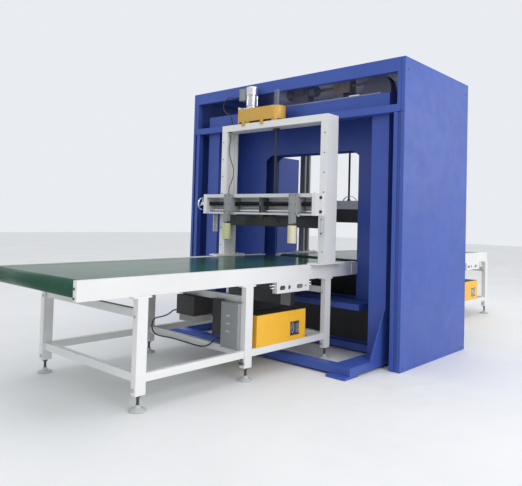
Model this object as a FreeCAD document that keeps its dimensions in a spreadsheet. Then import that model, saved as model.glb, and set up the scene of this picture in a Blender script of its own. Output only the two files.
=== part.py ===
import FreeCAD, Part
import math
import os
import re
import Sketcher

# Ring stretch wrapping line for panels: a portal with two ring plates and a
# wrapping ring, a belt conveyor on each side, and a gantry over each belt.
# Millimetres, +Z up, +X is the way the product travels, origin on the floor
# under the middle of the line.

doc = FreeCAD.newDocument("wrapping_line")

SIZES = [
    # Tunnel and wrapping ring
    ("ring_plane", -100), ("plate_gap", 188), ("plate_sheet", 12),
    ("opening_margin", 4), ("opening_low", 487), ("opening_top", 1950),
    ("corner_width", 75), ("corner_height", 55),
    ("ring_raise", 26.5), ("ring_room", 57), ("ring_width", 90), ("ring_thickness", 60),
    ("ring_headroom", 15), ("column_room", 30),
    ("roller_radius", 40), ("roller_side", 5), ("seat_gap", 0.3), ("pin_radius", 12),
    ("film_radius", 85), ("film_length", 122), ("film_core", 25), ("film_drop", 100), ("film_end", 20),
    ("carrier_length", 300), ("carrier_height", 160), ("carrier_low", 60), ("carrier_sheet", 10),
    ("stretch_radius", 22), ("stretch_offset", 120),
    # Inner frame
    ("column_width", 170), ("column_depth", 120), ("column_gap", 15), ("column_wall", 8),
    ("head_beam_height", 180), ("side_beam_width", 80), ("side_beam_height", 80),
    # Outer portal
    ("portal_depth", 1320), ("panel_return", 36), ("panel_sheet", 3), ("frame_clearance", 89),
    ("post_width", 65), ("post_depth", 60), ("groove_width", 28), ("groove_depth", 10),
    ("beam_raise", 15), ("head_height", 465), ("head_low_rail", 65), ("head_top_rail", 120), ("head_jamb", 34),
    ("head_depth", 60), ("roof_sheet", 3), ("sill_height", 60), ("rail_tube", 60),
    ("vent_length", 90), ("vent_width", 190), ("vent_inset", 210), ("vent_side", 40),
    # Ring drive on the head beams
    ("drive_sheet", 12), ("drive_near", 1060), ("drive_far", 220), ("drive_line", 235),
    ("drive_motor_radius", 55), ("drive_motor_half", 180), ("drive_shaft_height", 180), ("drive_shaft_radius", 14),
    ("drive_pedestal", 100), ("gear_near", 600), ("gear_length", 180), ("gear_height", 140), ("gear_foot", 110),
    ("guard_near", 1050), ("guard_length", 300), ("guard_depth", 100), ("guard_wall_height", 85),
    # Base
    ("base_reach", 1020), ("base_pad", 20), ("base_height", 65), ("base_side_width", 184),
    ("base_cross_width", 100), ("pad_overhang", 70), ("pad_length", 190),
    ("arm_front", 300), ("arm_rear", 240),
    ("gusset_height", 400), ("gusset_reach", 222), ("gusset_sheet", 12), ("gusset_toe", 12),
    ("shelf_inset", 85), ("shelf_gap", 150), ("shelf_lip", 55), ("shelf_sheet", 4),
    # Cabinet
    ("cabinet_length", 420), ("cabinet_depth", 180), ("cabinet_height", 2055), ("cabinet_plinth", 80),
    ("plinth_inset", 10),
    # Conveyors
    ("line_half", 3200), ("belt_gap", 9), ("frame_half", 614), ("rail_thickness", 40), ("rail_height", 125),
    ("rail_lip", 5), ("belt_top", 850), ("belt_thickness", 4), ("belt_clearance", 9), ("drum_radius", 52),
    ("drum_inset", 60), ("bed_sheet", 6), ("rib_width", 40), ("shaft_radius", 12), ("shaft_wall", 8),
    ("shaft_play", 0.5), ("slot_length", 60),
    ("leg_depth", 80), ("leg_width", 50), ("leg_bottom", 100), ("leg_overhang", 21),
    ("flange_reach", 30), ("flange_sheet", 12),
    ("first_leg_inset", 460), ("second_leg_share", 0.4874), ("gate_leg_gap", 50),
    ("middle_leg_share", 0.4019), ("last_leg_inset", 70),
    ("stretcher_low", 180), ("stretcher_height", 55), ("stretcher_width", 40), ("tie_low", 590),
    ("foot_radius", 57), ("foot_height", 14), ("stem_radius", 9), ("nut_radius", 17), ("nut_height", 14),
    ("end_bracket_length", 100), ("end_bracket_sheet", 8), ("end_bracket_margin", 10),
    ("bracket_length", 435), ("bracket_height", 95), ("bracket_sheet", 8), ("bracket_return", 50),
    ("bracket_slot_radius", 18), ("bracket_hole_height", 44),
    ("first_slot", 57), ("first_slot_length", 36), ("first_hole", 164),
    ("second_slot", 280), ("second_slot_length", 50), ("second_hole", 385), ("second_hole_radius", 10),
    ("infeed_bracket_share", 0.575), ("outfeed_bracket_share", 0.7226),
    ("drive_box_length", 620), ("drive_box_height", 250), ("drive_box_depth", 180),
    ("infeed_box_share", 0.2289), ("outfeed_box_share", 0.4746),
    # Motor and junction box under the infeed belt
    ("belt_motor_length", 360), ("belt_motor_width", 220), ("belt_motor_height", 160), ("belt_motor_place", 95),
    ("belt_motor_near", 100),
    ("gear_base_length", 200), ("gear_base_height", 50),
    ("gear_base_width", 180), ("junction_width", 185),
    # Gantries
    ("gantry_overhang", 62), ("gantry_post_width", 73), ("gantry_beam_height", 65), ("gantry_gap", 5),
    ("infeed_gantry_depth", 170), ("infeed_gantry_rise", 20),
    ("outfeed_gantry_depth", 115), ("outfeed_gantry_inset", 155), ("outfeed_gantry_drop", 15),
    ("recess_depth", 40), ("recess_wall", 30), ("gantry_foot_reach", 120), ("gantry_foot_sheet", 12),
    ("gantry_foot_overhang", 15),
    # Presses
    ("press_low", 1172), ("press_height", 105), ("press_margin", 34), ("press_depth", 90),
    ("press_clearance", 5), ("shoe_inset", 10), ("rod_radius", 12), ("rod_room", 8),
    ("press_drop", 150), ("rod_spare", 20), ("bush_radius", 32), ("bush_height", 24), ("rod_clearance", 0.4),
    ("outfeed_press_low", 1228), ("outfeed_press_height", 152), ("press_rail_height", 98),
    ("hoop_radius", 110), ("hoop_centre", 54), ("hoop_side", 36), ("hoop_sheet", 6), ("hoop_width", 20),
    # Drive on the infeed gantry
    ("cover_height", 130), ("cover_gap", 20), ("cover_radius", 88), ("cover_end", 110), ("motor_offset", 340),
    ("cover_seat_length", 60), ("cover_seat_width", 20), ("cover_seat_inset", 8),
    ("near_seat", 60), ("far_seat", 300),
    ("motor_radius", 58), ("motor_height", 150), ("cowl_radius", 64), ("cowl_height", 90),
    ("flange_half", 72), ("flange_height", 14), ("terminal_length", 110), ("terminal_width", 80),
    ("terminal_low", 100), ("terminal_height", 120), ("terminal_seat", 12),
    ("tube_radius", 31), ("tube_bore", 20), ("tube_height", 165), ("tube_cap", 6),
    # Guide unit
    ("guide_depth", 130), ("guide_near_inset", 16), ("guide_far_reach", 114), ("guide_low", 1285),
    ("guide_height", 198), ("guide_block", 40), ("guide_recess", 8),
    ("guide_back", 10), ("guide_top_flange", 34), ("guide_low_flange", 18),
    ("guide_screw", 18), ("guide_screw_height", 102), ("guide_rod", 10), ("guide_rod_height", 38),
    ("guide_axis", 60), ("guide_clearance", 5),
    ("strip_width", 60), ("strip_inset", 55), ("strip_drop", 185), ("strip_sheet", 8), ("strip_far_reach", 14),
    ("strip_slot_radius", 7), ("strip_slot_length", 90), ("bearing_width", 24),
    ("carriage_width", 96), ("carriage_place", 420), ("carriage_plate", 20), ("carriage_clearance", 0.5),
    ("carriage_arm_width", 50), ("carriage_axle", 14),
    ("guide_roller_radius", 41), ("guide_roller_height", 160), ("guide_roller_low", 1032),
    ("wheel_radius", 62), ("wheel_rim", 8), ("wheel_hub_radius", 20), ("wheel_hub_length", 95),
    ("wheel_place", 80), ("spoke_width", 12), ("spoke_sheet", 10),
    # Cables and their glands
    ("thick_cable", 6), ("thin_cable", 4), ("gland_radius", 12), ("gland_length", 20), ("short_gland", 10),
    ("terminal_gland_height", 150), ("beam_gland_side", 620), ("low_gland_inset", 35), ("low_gland_side", 585),
    ("channel_gland_inset", 78), ("channel_gland_side", 502),
    ("belt_gland_place", 55), ("belt_gland_drop", 140), ("junction_gland_rise", 55), ("junction_overhang", 55),
]

sheet = doc.addObject("Spreadsheet::Sheet", "sizes")
for row, (alias, value) in enumerate(SIZES, start=1):
    sheet.set("A%d" % row, alias)
    sheet.set("B%d" % row, str(value))
    sheet.setAlias("B%d" % row, alias)
doc.recompute()

ALIASES = {alias for alias, value in SIZES}
WORD = re.compile(r"[a-z][a-z_]*")
ARC_SHARE = 0.45
CABLE_SIDES = 6
GROUP = re.compile(r"(?:sqrt)?\([^()]*\)")
parts = []

# Places worked out from the driving sizes. The ring clears the tunnel's corners,
# and the columns, the portal and its head follow the ring.
FRONT_PLATE = "(ring_plane - plate_gap/2 - plate_sheet)"
REAR_PLATE = "(ring_plane + plate_gap/2 + plate_sheet)"
OPENING_HALF = "(frame_half - opening_margin)"
RING_CENTRE = "((opening_low + opening_top)/2 + ring_raise)"
RING_INNER = "(sqrt(%s^2 + (%s - opening_low)^2) + ring_room)" % (OPENING_HALF, RING_CENTRE)
RING_OUTER = "(%s + ring_width)" % RING_INNER
COLUMN_OUTER = "(%s + column_room)" % RING_OUTER
SHEET_FACE = "(%s + frame_clearance + rail_tube)" % COLUMN_OUTER
PORTAL_HALF = "(%s + panel_return)" % SHEET_FACE
BEAM_TOP = "(%s + %s + ring_headroom)" % (RING_CENTRE, RING_OUTER)
BEAM_LOW = "(%s - head_beam_height)" % BEAM_TOP
HEAD_LOW = "(%s - beam_raise)" % BEAM_LOW
PORTAL_TOP = "(%s + head_height)" % HEAD_LOW
COLUMN_FRONT = "(-portal_depth/2 + head_depth + column_gap)"
BASE_TOP = "(base_pad + base_height)"
RAIL_TOP = "(belt_top + rail_lip)"
RAIL_LOW = "(belt_top + rail_lip - rail_height)"
BELT_HALF = "(frame_half - rail_thickness - belt_clearance)"
DRUM_MIDDLE = "(belt_top - belt_thickness - drum_radius)"
LEG_SIDE = "(frame_half + leg_overhang)"
INFEED_END = "(%s - belt_gap)" % FRONT_PLATE
OUTFEED_START = "(%s + belt_gap)" % REAR_PLATE
INFEED_LEGS = ("(-line_half + first_leg_inset)",
               "(-line_half + (%s + line_half)*second_leg_share)" % INFEED_END,
               "(-portal_depth/2 - gate_leg_gap)")
OUTFEED_LEGS = ("(portal_depth/2 + gate_leg_gap)",
                "(line_half - (line_half - %s)*middle_leg_share)" % OUTFEED_START,
                "(line_half - last_leg_inset)")
GANTRY_HALF = "(frame_half + gantry_overhang)"
INFEED_GANTRY = "(-portal_depth/2 - gantry_gap - infeed_gantry_depth)"
OUTFEED_GANTRY = "(portal_depth/2 - outfeed_gantry_inset)"
INFEED_TOP = "(%s + infeed_gantry_rise)" % HEAD_LOW
OUTFEED_TOP = "(%s - outfeed_gantry_drop)" % HEAD_LOW
GUIDE_FRONT = "(%s - guide_depth)" % INFEED_GANTRY
GUIDE_AXIS = "(%s + guide_axis)" % GUIDE_FRONT
GUIDE_NEAR = "(-%s + guide_near_inset)" % GANTRY_HALF
GUIDE_FAR = "(%s + guide_far_reach)" % GANTRY_HALF
GUIDE_TOP = "(guide_low + guide_height)"
SCREW_HEIGHT = "(guide_low + guide_screw_height)"
ROD_HEIGHT = "(guide_low + guide_rod_height)"


def formula(text):
    """A formula over the sheet's aliases, as the document's expressions write it."""
    return WORD.sub(lambda m: "sizes." + m.group(0) if m.group(0) in ALIASES else m.group(0), str(text))


def size(text):
    """The number that a formula over the sheet gives now."""
    names = {alias: repr(float(sheet.get(alias))) for alias in ALIASES if alias in str(text)}
    text = WORD.sub(lambda m: names.get(m.group(0), m.group(0)), str(text))
    while GROUP.search(text):
        text = GROUP.sub(lambda m: repr(FreeCAD.Units.Quantity(m.group(0)).Value), text)
    return FreeCAD.Units.Quantity(text).Value


def bind(item, **formulas):
    """Bind properties of an object to formulas; x, y and z are its place."""
    paths = {"x": "Placement.Base.x", "y": "Placement.Base.y", "z": "Placement.Base.z"}
    for name, text in formulas.items():
        item.setExpression(paths.get(name, name), formula(text))
    return item


def keep(item, label):
    """Name a finished sub-part: its label is also its file's name."""
    item.Label = label
    parts.append(item)
    return item


def box(name, x, y, z, length, width, height):
    item = doc.addObject("Part::Box", name)
    return bind(item, x=x, y=y, z=z, Length=length, Width=width, Height=height)


AXES = {
    "x": FreeCAD.Rotation(FreeCAD.Vector(0, 1, 0), 90),
    "y": FreeCAD.Rotation(FreeCAD.Vector(1, 0, 0), -90),
    "z": FreeCAD.Rotation(),
}


def rod(name, axis, x, y, z, radius, length):
    """A cylinder from a point along one axis."""
    item = doc.addObject("Part::Cylinder", name)
    item.Placement.Rotation = AXES[axis]
    return bind(item, x=x, y=y, z=z, Radius=radius, Height=length)


def flat_bar(name, axis, sides, x, y, z, radius, length):
    """A bar with flat sides, such as a nut, from a point along one axis."""
    item = doc.addObject("Part::Prism", name)
    item.Polygon = sides
    item.Placement.Rotation = AXES[axis]
    return bind(item, x=x, y=y, z=z, Circumradius=radius, Height=length)


def fuse(name, shapes):
    item = doc.addObject("Part::MultiFuse", name)
    item.Shapes = shapes
    item.Refine = True
    return item


def cut(name, base, tool):
    item = doc.addObject("Part::Cut", name)
    item.Base = base
    item.Tool = tool
    item.Refine = True
    return item


def group(name, shapes):
    """Like solids that do not touch, in one sub-part."""
    item = doc.addObject("Part::Compound", name)
    item.Links = shapes
    return item


def plane(body, role):
    return [item for item in body.Origin.OriginFeatures if item.Role == role][0]


def outline(body, role, name, loops):
    """A sketch of closed outlines, each corner held by two bound distances."""
    sketch = body.newObject("Sketcher::SketchObject", name)
    sketch.AttachmentSupport = [(plane(body, role), "")]
    sketch.MapMode = "FlatFace"
    first = 0
    for corners in loops:
        places = [FreeCAD.Vector(size(u), size(v), 0) for u, v in corners]
        count = len(corners)
        for i in range(count):
            sketch.addGeometry(Part.LineSegment(places[i], places[(i + 1) % count]))
        for i in range(count):
            sketch.addConstraint(Sketcher.Constraint("Coincident", first + i, 2, first + (i + 1) % count, 1))
        for i, corner in enumerate(corners):
            for kind, text, place in (("DistanceX", corner[0], places[i].x), ("DistanceY", corner[1], places[i].y)):
                index = sketch.addConstraint(Sketcher.Constraint(kind, -1, 1, first + i, 1, place))
                sketch.setExpression("Constraints[%d]" % index, formula(text))
        first += count
    return sketch


def prism(name, role, loops, length, **place):
    """A body padded from outlines on one origin plane."""
    body = doc.addObject("PartDesign::Body", name)
    sketch = outline(body, role, name + "_outline", loops)
    pad = body.newObject("PartDesign::Pad", name + "_pad")
    pad.Profile = sketch
    bind(pad, Length=length)
    bind(body, **place)
    return body


def rectangle(u_low, u_high, v_low, v_high):
    return [(u_low, v_low), (u_high, v_low), (u_high, v_high), (u_low, v_high)]


def mirror_y(name, source):
    """The same piece on the far side of the line."""
    item = doc.addObject("Part::Mirroring", name)
    item.Source = source
    item.Normal = FreeCAD.Vector(0, 1, 0)
    return item


def mirror_ring(name, source):
    """The same piece on the other side of the ring's plane."""
    item = doc.addObject("Part::Mirroring", name)
    item.Source = source
    item.Normal = FreeCAD.Vector(1, 0, 0)
    item.setExpression("Base.x", formula("ring_plane"))
    return item


def both_sides(name, source):
    return group(name, [source, mirror_y(name + "_far", source)])


def cable_path(corners):
    """Straight runs joined by tangent arcs, and the radius of each arc."""
    edges, radii, start = [], [], corners[0]
    for before, corner, after in zip(corners, corners[1:], corners[2:]):
        back, ahead = before - corner, after - corner
        half_turn = (math.pi - back.getAngle(ahead)) / 2
        reach = ARC_SHARE * min(back.Length, ahead.Length)
        radius = reach / math.tan(half_turn)
        back.normalize()
        ahead.normalize()
        inward = (back + ahead).normalize()
        middle = corner + inward * (math.hypot(radius, reach) - radius)
        edges.append(Part.LineSegment(start, corner + back * reach).toShape())
        edges.append(Part.Arc(corner + back * reach, middle, corner + ahead * reach).toShape())
        start = corner + ahead * reach
        radii.append(radius)
    edges.append(Part.LineSegment(start, corners[-1]).toShape())
    return Part.Wire(edges), radii


def cable(label, radius, start, first_steps, last_steps, end):
    """A cable swept from one gland to another; the steps are corners measured from the gland on that side."""
    first = FreeCAD.Vector(*[size(place) for place in start])
    last = FreeCAD.Vector(*[size(place) for place in end])
    corners = [first] + [first + FreeCAD.Vector(*step) for step in first_steps]
    corners += [last + FreeCAD.Vector(*step) for step in last_steps] + [last]
    path, radii = cable_path(corners)
    reach = size(radius)
    along = (corners[1] - first).normalize()
    across = along.cross(FreeCAD.Vector(1, 2, 3)).normalize()
    side = along.cross(across)
    turns = [2 * math.pi * i / CABLE_SIDES for i in range(CABLE_SIDES + 1)]
    rim = [first + (across * math.cos(turn) + side * math.sin(turn)) * reach for turn in turns]
    item = doc.addObject("Part::Feature", label)
    item.Shape = path.makePipeShell([Part.makePolygon(rim)], True, False)
    section = CABLE_SIDES / 2 * math.sin(2 * math.pi / CABLE_SIDES) * reach ** 2
    print(label, "length %.0f, radii %s, volume share %.3f" % (
        path.Length, [round(value) for value in radii], item.Shape.Volume / (section * path.Length)))
    keep(item, label)


# Outer portal

def side_panels():
    """Sheet trays that cover the sides from floor to roof, open towards the middle."""
    tray = prism("side_tray", "XZ_Plane", [rectangle("-portal_depth/2", "portal_depth/2", "0", PORTAL_TOP)],
                 "panel_return", y="-" + SHEET_FACE)
    sketch = outline(tray, "XZ_Plane", "tray_hollow",
                     [rectangle("-portal_depth/2 + panel_sheet", "portal_depth/2 - panel_sheet",
                                "panel_sheet", "%s - panel_sheet" % PORTAL_TOP)])
    hollow = tray.newObject("PartDesign::Pocket", "tray_pocket")
    hollow.Profile = sketch
    hollow.Reversed = True
    bind(hollow, Length="panel_return - panel_sheet")
    keep(both_sides("side_trays", tray), "side_panels")


def posts():
    """Corner posts with the groove that takes the side panel's edge."""
    outer = "-" + SHEET_FACE
    front = "-portal_depth/2"
    corners = [(front + " + groove_depth", outer), (front + " + groove_depth", outer + " + groove_width"),
               (front, outer + " + groove_width"), (front, outer + " + post_width"),
               (front + " + post_depth", outer + " + post_width"), (front + " + post_depth", outer)]
    front_post = prism("front_post", "XY_Plane", [corners], HEAD_LOW)
    rear = doc.addObject("Part::Mirroring", "rear_post")
    rear.Source = front_post
    rear.Normal = FreeCAD.Vector(1, 0, 0)
    keep(group("posts", [front_post, rear, mirror_y("front_post_far", front_post),
                         mirror_y("rear_post_far", rear)]), "portal_posts")


def head_frames():
    """Window frames across the top of both ends of the portal."""
    loops = [rectangle("-" + SHEET_FACE, SHEET_FACE, HEAD_LOW, "%s - roof_sheet" % PORTAL_TOP),
             rectangle("-%s + head_jamb" % SHEET_FACE, "%s - head_jamb" % SHEET_FACE,
                       "%s + head_low_rail" % HEAD_LOW, "%s - head_top_rail" % PORTAL_TOP)]
    frames = [prism("front_head", "YZ_Plane", loops, "head_depth", x="-portal_depth/2"),
              prism("rear_head", "YZ_Plane", loops, "head_depth", x="portal_depth/2 - head_depth")]
    keep(group("head_frame_set", frames), "head_frames")


def head_rails():
    """Rails along the travel direction that tie the two head frames and the posts."""
    side = "-" + SHEET_FACE
    start = "-portal_depth/2 + head_depth"
    length = "portal_depth - 2*head_depth"
    low = box("head_rail_low", start, side, HEAD_LOW, length, "rail_tube", "head_low_rail")
    high = box("head_rail_high", start, side, "%s - roof_sheet - rail_tube" % PORTAL_TOP, length,
               "rail_tube", "rail_tube")
    sill = box("sill", "-portal_depth/2 + post_depth", side, "0", "portal_depth - 2*post_depth",
               "rail_tube", "sill_height")
    rails = [low, high, sill]
    rails += [mirror_y(rail.Name + "_far", rail) for rail in rails]
    keep(group("side_rails", rails), "portal_side_rails")


def roof():
    """Roof sheet with one vent towards the outfeed end."""
    panel = box("roof", "-portal_depth/2", "-" + SHEET_FACE, "%s - roof_sheet" % PORTAL_TOP,
                "portal_depth", "2*" + SHEET_FACE, "roof_sheet")
    vent = box("roof_vent", "portal_depth/2 - vent_inset - vent_length", "-vent_side - vent_width",
               "%s - roof_sheet" % PORTAL_TOP, "vent_length", "vent_width", "roof_sheet")
    keep(cut("roof_cut", panel, vent), "roof_panel")


# Inner ring frame

def columns():
    """Inner columns on the base, in front of and behind the ring plates."""
    outer = "-" + COLUMN_OUTER
    front = prism("front_column", "XY_Plane",
                  [rectangle(COLUMN_FRONT, COLUMN_FRONT + " + column_depth", outer, outer + " + column_width"),
                   rectangle(COLUMN_FRONT + " + column_wall", COLUMN_FRONT + " + column_depth - column_wall",
                             outer + " + column_wall", outer + " + column_width - column_wall")],
                  "%s - %s" % (BEAM_LOW, BASE_TOP), z=BASE_TOP)
    rear = mirror_ring("rear_column", front)
    keep(group("column_set", [front, rear, mirror_y("front_column_far", front),
                              mirror_y("rear_column_far", rear)]), "inner_columns")


def head_beams():
    """Welded frame of head beams and side beams on top of the columns."""
    front = box("head_beam", COLUMN_FRONT, "-" + COLUMN_OUTER, BEAM_LOW,
                "column_depth", "2*" + COLUMN_OUTER, "head_beam_height")
    side = box("side_beam", COLUMN_FRONT + " + column_depth", "-" + COLUMN_OUTER,
               "%s + (head_beam_height - side_beam_height)/2" % BEAM_LOW,
               "2*(ring_plane - %s - column_depth)" % COLUMN_FRONT, "side_beam_width", "side_beam_height")
    keep(fuse("head_beam_frame", [front, mirror_ring("head_beam_rear", front), side,
                                  mirror_y("side_beam_far", side)]), "inner_head_frame")


def ring_plates():
    """Plates with the tunnel opening, its upper corners cut off at a slant."""
    half = "(%s - side_beam_width)" % COLUMN_OUTER
    opening = [("-" + OPENING_HALF, "opening_low"), (OPENING_HALF, "opening_low"),
               (OPENING_HALF, "opening_top - corner_height"), (OPENING_HALF + " - corner_width", "opening_top"),
               ("-%s + corner_width" % OPENING_HALF, "opening_top"),
               ("-" + OPENING_HALF, "opening_top - corner_height")]
    plates = [prism(name, "YZ_Plane", [rectangle("-" + half, half, BASE_TOP, BEAM_TOP), opening],
                    "plate_sheet", x=place)
              for name, place in (("front_plate", FRONT_PLATE), ("rear_plate", REAR_PLATE + " - plate_sheet"))]
    keep(group("ring_plate_set", plates), "ring_plates")


def wrapping_ring():
    """Ring turned from a flat section, its rim bearing on the rollers."""
    half = "ring_thickness/2"
    section = [(RING_INNER, "-" + half), (RING_OUTER, "-" + half), (RING_OUTER, half), (RING_INNER, half)]
    ring = doc.addObject("PartDesign::Body", "ring_body")
    turn = ring.newObject("PartDesign::Revolution", "ring_turn")
    turn.Profile = outline(ring, "XY_Plane", "ring_section", [section])
    turn.ReferenceAxis = (turn.Profile[0], ["V_Axis"])
    turn.Angle = 360
    ring.Placement.Rotation = FreeCAD.Rotation(FreeCAD.Vector(0, 0, 1), -90)
    bind(ring, x="ring_plane", z=RING_CENTRE)
    keep(ring, "wrapping_ring")


def ring_rollers():
    """Rollers on pins between the plates that carry the ring."""
    orbit = "(%s + roller_radius + seat_gap)" % RING_OUTER
    rollers = []
    for index, quarter in enumerate((45, 135, 225, 315)):
        y = "%s*cos(%d deg)" % (orbit, quarter)
        z = "%s + %s*sin(%d deg)" % (RING_CENTRE, orbit, quarter)
        tread = flat_bar("ring_tread_%d" % index, "x", 20, "ring_plane - ring_thickness/2 - roller_side", y, z,
                         "roller_radius", "ring_thickness + 2*roller_side")
        pin = flat_bar("ring_pin_%d" % index, "x", 8, "ring_plane - plate_gap/2", y, z, "pin_radius", "plate_gap")
        rollers.append(fuse("ring_roller_%d" % index, [tread, pin]))
    keep(group("ring_roller_set", rollers), "ring_rollers")


def film_unit():
    """Film roll on the ring, with its carrier plate."""
    back = "(ring_plane - ring_thickness/2)"
    start = back + " - carrier_sheet"
    height = "(%s + %s - film_drop)" % (RING_CENTRE, RING_INNER)
    plate = box("film_plate", start, "-carrier_length/2", height + " - carrier_low", "carrier_sheet",
                "carrier_length", "carrier_height")
    spindle = flat_bar("film_spindle", "x", 16, start, "0", height, "film_core", "film_length")
    stretch = flat_bar("film_stretch", "x", 16, start, "stretch_offset", height, "stretch_radius", "film_length")
    holder = fuse("film_holder", [plate, spindle, stretch])
    roll = flat_bar("film_outer", "x", 24, back, "0", height, "film_radius", "film_length - film_end")
    core = flat_bar("film_bore", "x", 16, back, "0", height, "film_core + seat_gap", "film_length - film_end")
    keep(group("film_set", [holder, cut("film", roll, core)]), "film_unit")


def ring_drive():
    """Motor, gear case and rounded guard of the ring's drive, on one plate across the head beams."""
    plate_top = "(%s + drive_sheet)" % BEAM_TOP
    shaft = "(%s + drive_shaft_height)" % BEAM_TOP
    line = "(ring_plane - drive_line)"
    plate = box("ring_drive_plate", COLUMN_FRONT, "-drive_near", BEAM_TOP,
                "2*(ring_plane - %s)" % COLUMN_FRONT, "drive_near + drive_far", "drive_sheet")
    motor = flat_bar("ring_motor", "y", 24, line, "-drive_motor_half", shaft, "drive_motor_radius",
                     "2*drive_motor_half")
    pedestal = box("ring_motor_foot", line + " - drive_pedestal/2", "-drive_pedestal", plate_top,
                   "drive_pedestal", "2*drive_pedestal", "drive_shaft_height - drive_sheet")
    link = flat_bar("ring_drive_shaft", "y", 12, line, "-guard_near + guard_length", shaft, "drive_shaft_radius",
                    "guard_near - guard_length - drive_motor_half")
    gear = box("ring_gear", line + " - drive_pedestal/2", "-gear_near", shaft + " - gear_height/2",
               "drive_pedestal", "gear_length", "gear_height")
    gear_foot = box("ring_gear_foot", line + " - drive_pedestal/2", "-gear_near + gear_length - gear_foot",
                    plate_top, "drive_pedestal", "gear_foot", "drive_shaft_height - drive_sheet - gear_height/2")
    wall = box("ring_guard_wall", line + " - guard_depth/2", "-guard_near", plate_top,
               "guard_depth", "guard_length", "guard_wall_height - drive_sheet")
    dome = rod("ring_guard_round", "x", line + " - guard_depth/2", "-guard_near + guard_length/2",
               "%s + guard_wall_height" % BEAM_TOP, "guard_length/2", "guard_depth")
    low = box("ring_guard_low", line + " - guard_depth", "-guard_near - guard_depth",
              BEAM_TOP + " - guard_length", "2*guard_depth", "guard_length + 2*guard_depth",
              "guard_length + drive_sheet")
    keep(fuse("ring_drive_full", [plate, motor, pedestal, link, gear, gear_foot, wall,
                                  cut("ring_guard_dome", dome, low)]), "ring_drive_unit")


def base_frame():
    """Welded base on floor pads that carries the columns and the plates."""
    start = "ring_plane - base_reach"
    outer = "-" + COLUMN_OUTER
    pieces = [box("base_side", start, outer, "base_pad", "2*base_reach", "base_side_width", "base_height")]
    places = (start + " - pad_overhang", "ring_plane - pad_length/2",
              "ring_plane + base_reach + pad_overhang - pad_length")
    for index, place in enumerate(places):
        pieces.append(box("base_pad_%d" % index, place, outer, "0", "pad_length", "base_side_width", "base_pad"))
    for index, place in enumerate(("ring_plane - arm_front", "ring_plane + arm_rear")):
        pieces.append(box("base_arm_%d" % index, place, "-%s + rail_tube" % SHEET_FACE, "base_pad", "rail_tube",
                          "frame_clearance", "sill_height - base_pad"))
    near = fuse("base_side_full", pieces)
    inner = "(%s - base_side_width)" % COLUMN_OUTER
    crosses = []
    places = (start, "ring_plane - plate_gap/2 - base_cross_width", "ring_plane + plate_gap/2",
              "ring_plane + base_reach - base_cross_width")
    for index, place in enumerate(places):
        crosses.append(box("base_cross_%d" % index, place, "-" + inner, "base_pad", "base_cross_width",
                           "2*" + inner, "base_height"))
    keep(fuse("base_full", [near, mirror_y("base_side_far", near)] + crosses), "base_frame")


def gussets():
    """Plates that brace each column's foot along the line."""
    foot = COLUMN_FRONT
    near = prism("gusset", "XZ_Plane",
                 [[(foot, BASE_TOP), (foot, "%s + gusset_height" % BASE_TOP),
                   (foot + " - gusset_toe", "%s + gusset_height" % BASE_TOP),
                   (foot + " - gusset_reach", BASE_TOP + " + gusset_toe"), (foot + " - gusset_reach", BASE_TOP)]],
                 "gusset_sheet", y="-%s + gusset_sheet" % COLUMN_OUTER)
    rear = mirror_ring("gusset_rear", near)
    keep(group("gusset_set", [near, rear, mirror_y("gusset_far", near), mirror_y("gusset_rear_far", rear)]),
         "column_gussets")


def shelf():
    """Folded tray between the front columns and the front plate."""
    front = "(%s + shelf_inset)" % COLUMN_FRONT
    half = "(%s - column_width - shelf_gap)" % COLUMN_OUTER
    outer = box("shelf_outer", front, "-" + half, "opening_low - shelf_lip",
                "%s - %s" % (FRONT_PLATE, front), "2*" + half, "shelf_lip")
    hollow = box("shelf_hollow", front + " + shelf_sheet", "-%s + shelf_sheet" % half,
                 "opening_low - shelf_lip", "%s - %s" % (FRONT_PLATE, front), "2*%s - 2*shelf_sheet" % half,
                 "shelf_lip - shelf_sheet")
    keep(cut("shelf_tray", outer, hollow), "front_shelf")


def cabinet():
    """Control cabinet behind the portal's far side."""
    start = "portal_depth/2"
    side = "%s - cabinet_depth" % PORTAL_HALF
    case = box("cabinet_case", start, side, "cabinet_plinth", "cabinet_length", "cabinet_depth",
               "cabinet_height - cabinet_plinth")
    plinth = box("plinth", start + " + plinth_inset", side + " + plinth_inset", "0",
                 "cabinet_length - 2*plinth_inset", "cabinet_depth - 2*plinth_inset", "cabinet_plinth")
    keep(fuse("cabinet_full", [case, plinth]), "control_cabinet")


# Conveyors

def rail(side, start, end, take_up, fixed, plate_side):
    """Side rail, its inner face with a take-up slot for the outer drum's shaft and a hole for the inner one's."""
    web = box(side + "_rail", start, "-frame_half", RAIL_LOW, "%s - %s" % (end, start), "rail_thickness",
              "rail_height")
    bracket = box(side + "_rail_end", plate_side, "-frame_half - end_bracket_sheet",
                  RAIL_LOW + " + end_bracket_margin", "end_bracket_length", "end_bracket_sheet",
                  "rail_height - 2*end_bracket_margin")
    across = "(rail_thickness - shaft_wall)"
    near = "-frame_half + shaft_wall"
    radius = "(shaft_radius + shaft_play)"
    hole = flat_bar(side + "_shaft_hole", "y", 24, fixed, near, DRUM_MIDDLE, radius, across)
    slot = box(side + "_take_up", take_up + " - slot_length/2", near, "%s - %s" % (DRUM_MIDDLE, radius),
               "slot_length", across, "2*" + radius)
    tools = fuse(side + "_rail_tools", [hole, slot])
    return cut(side + "_rail_cut", fuse(side + "_rail_full", [web, bracket]), tools)


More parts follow.
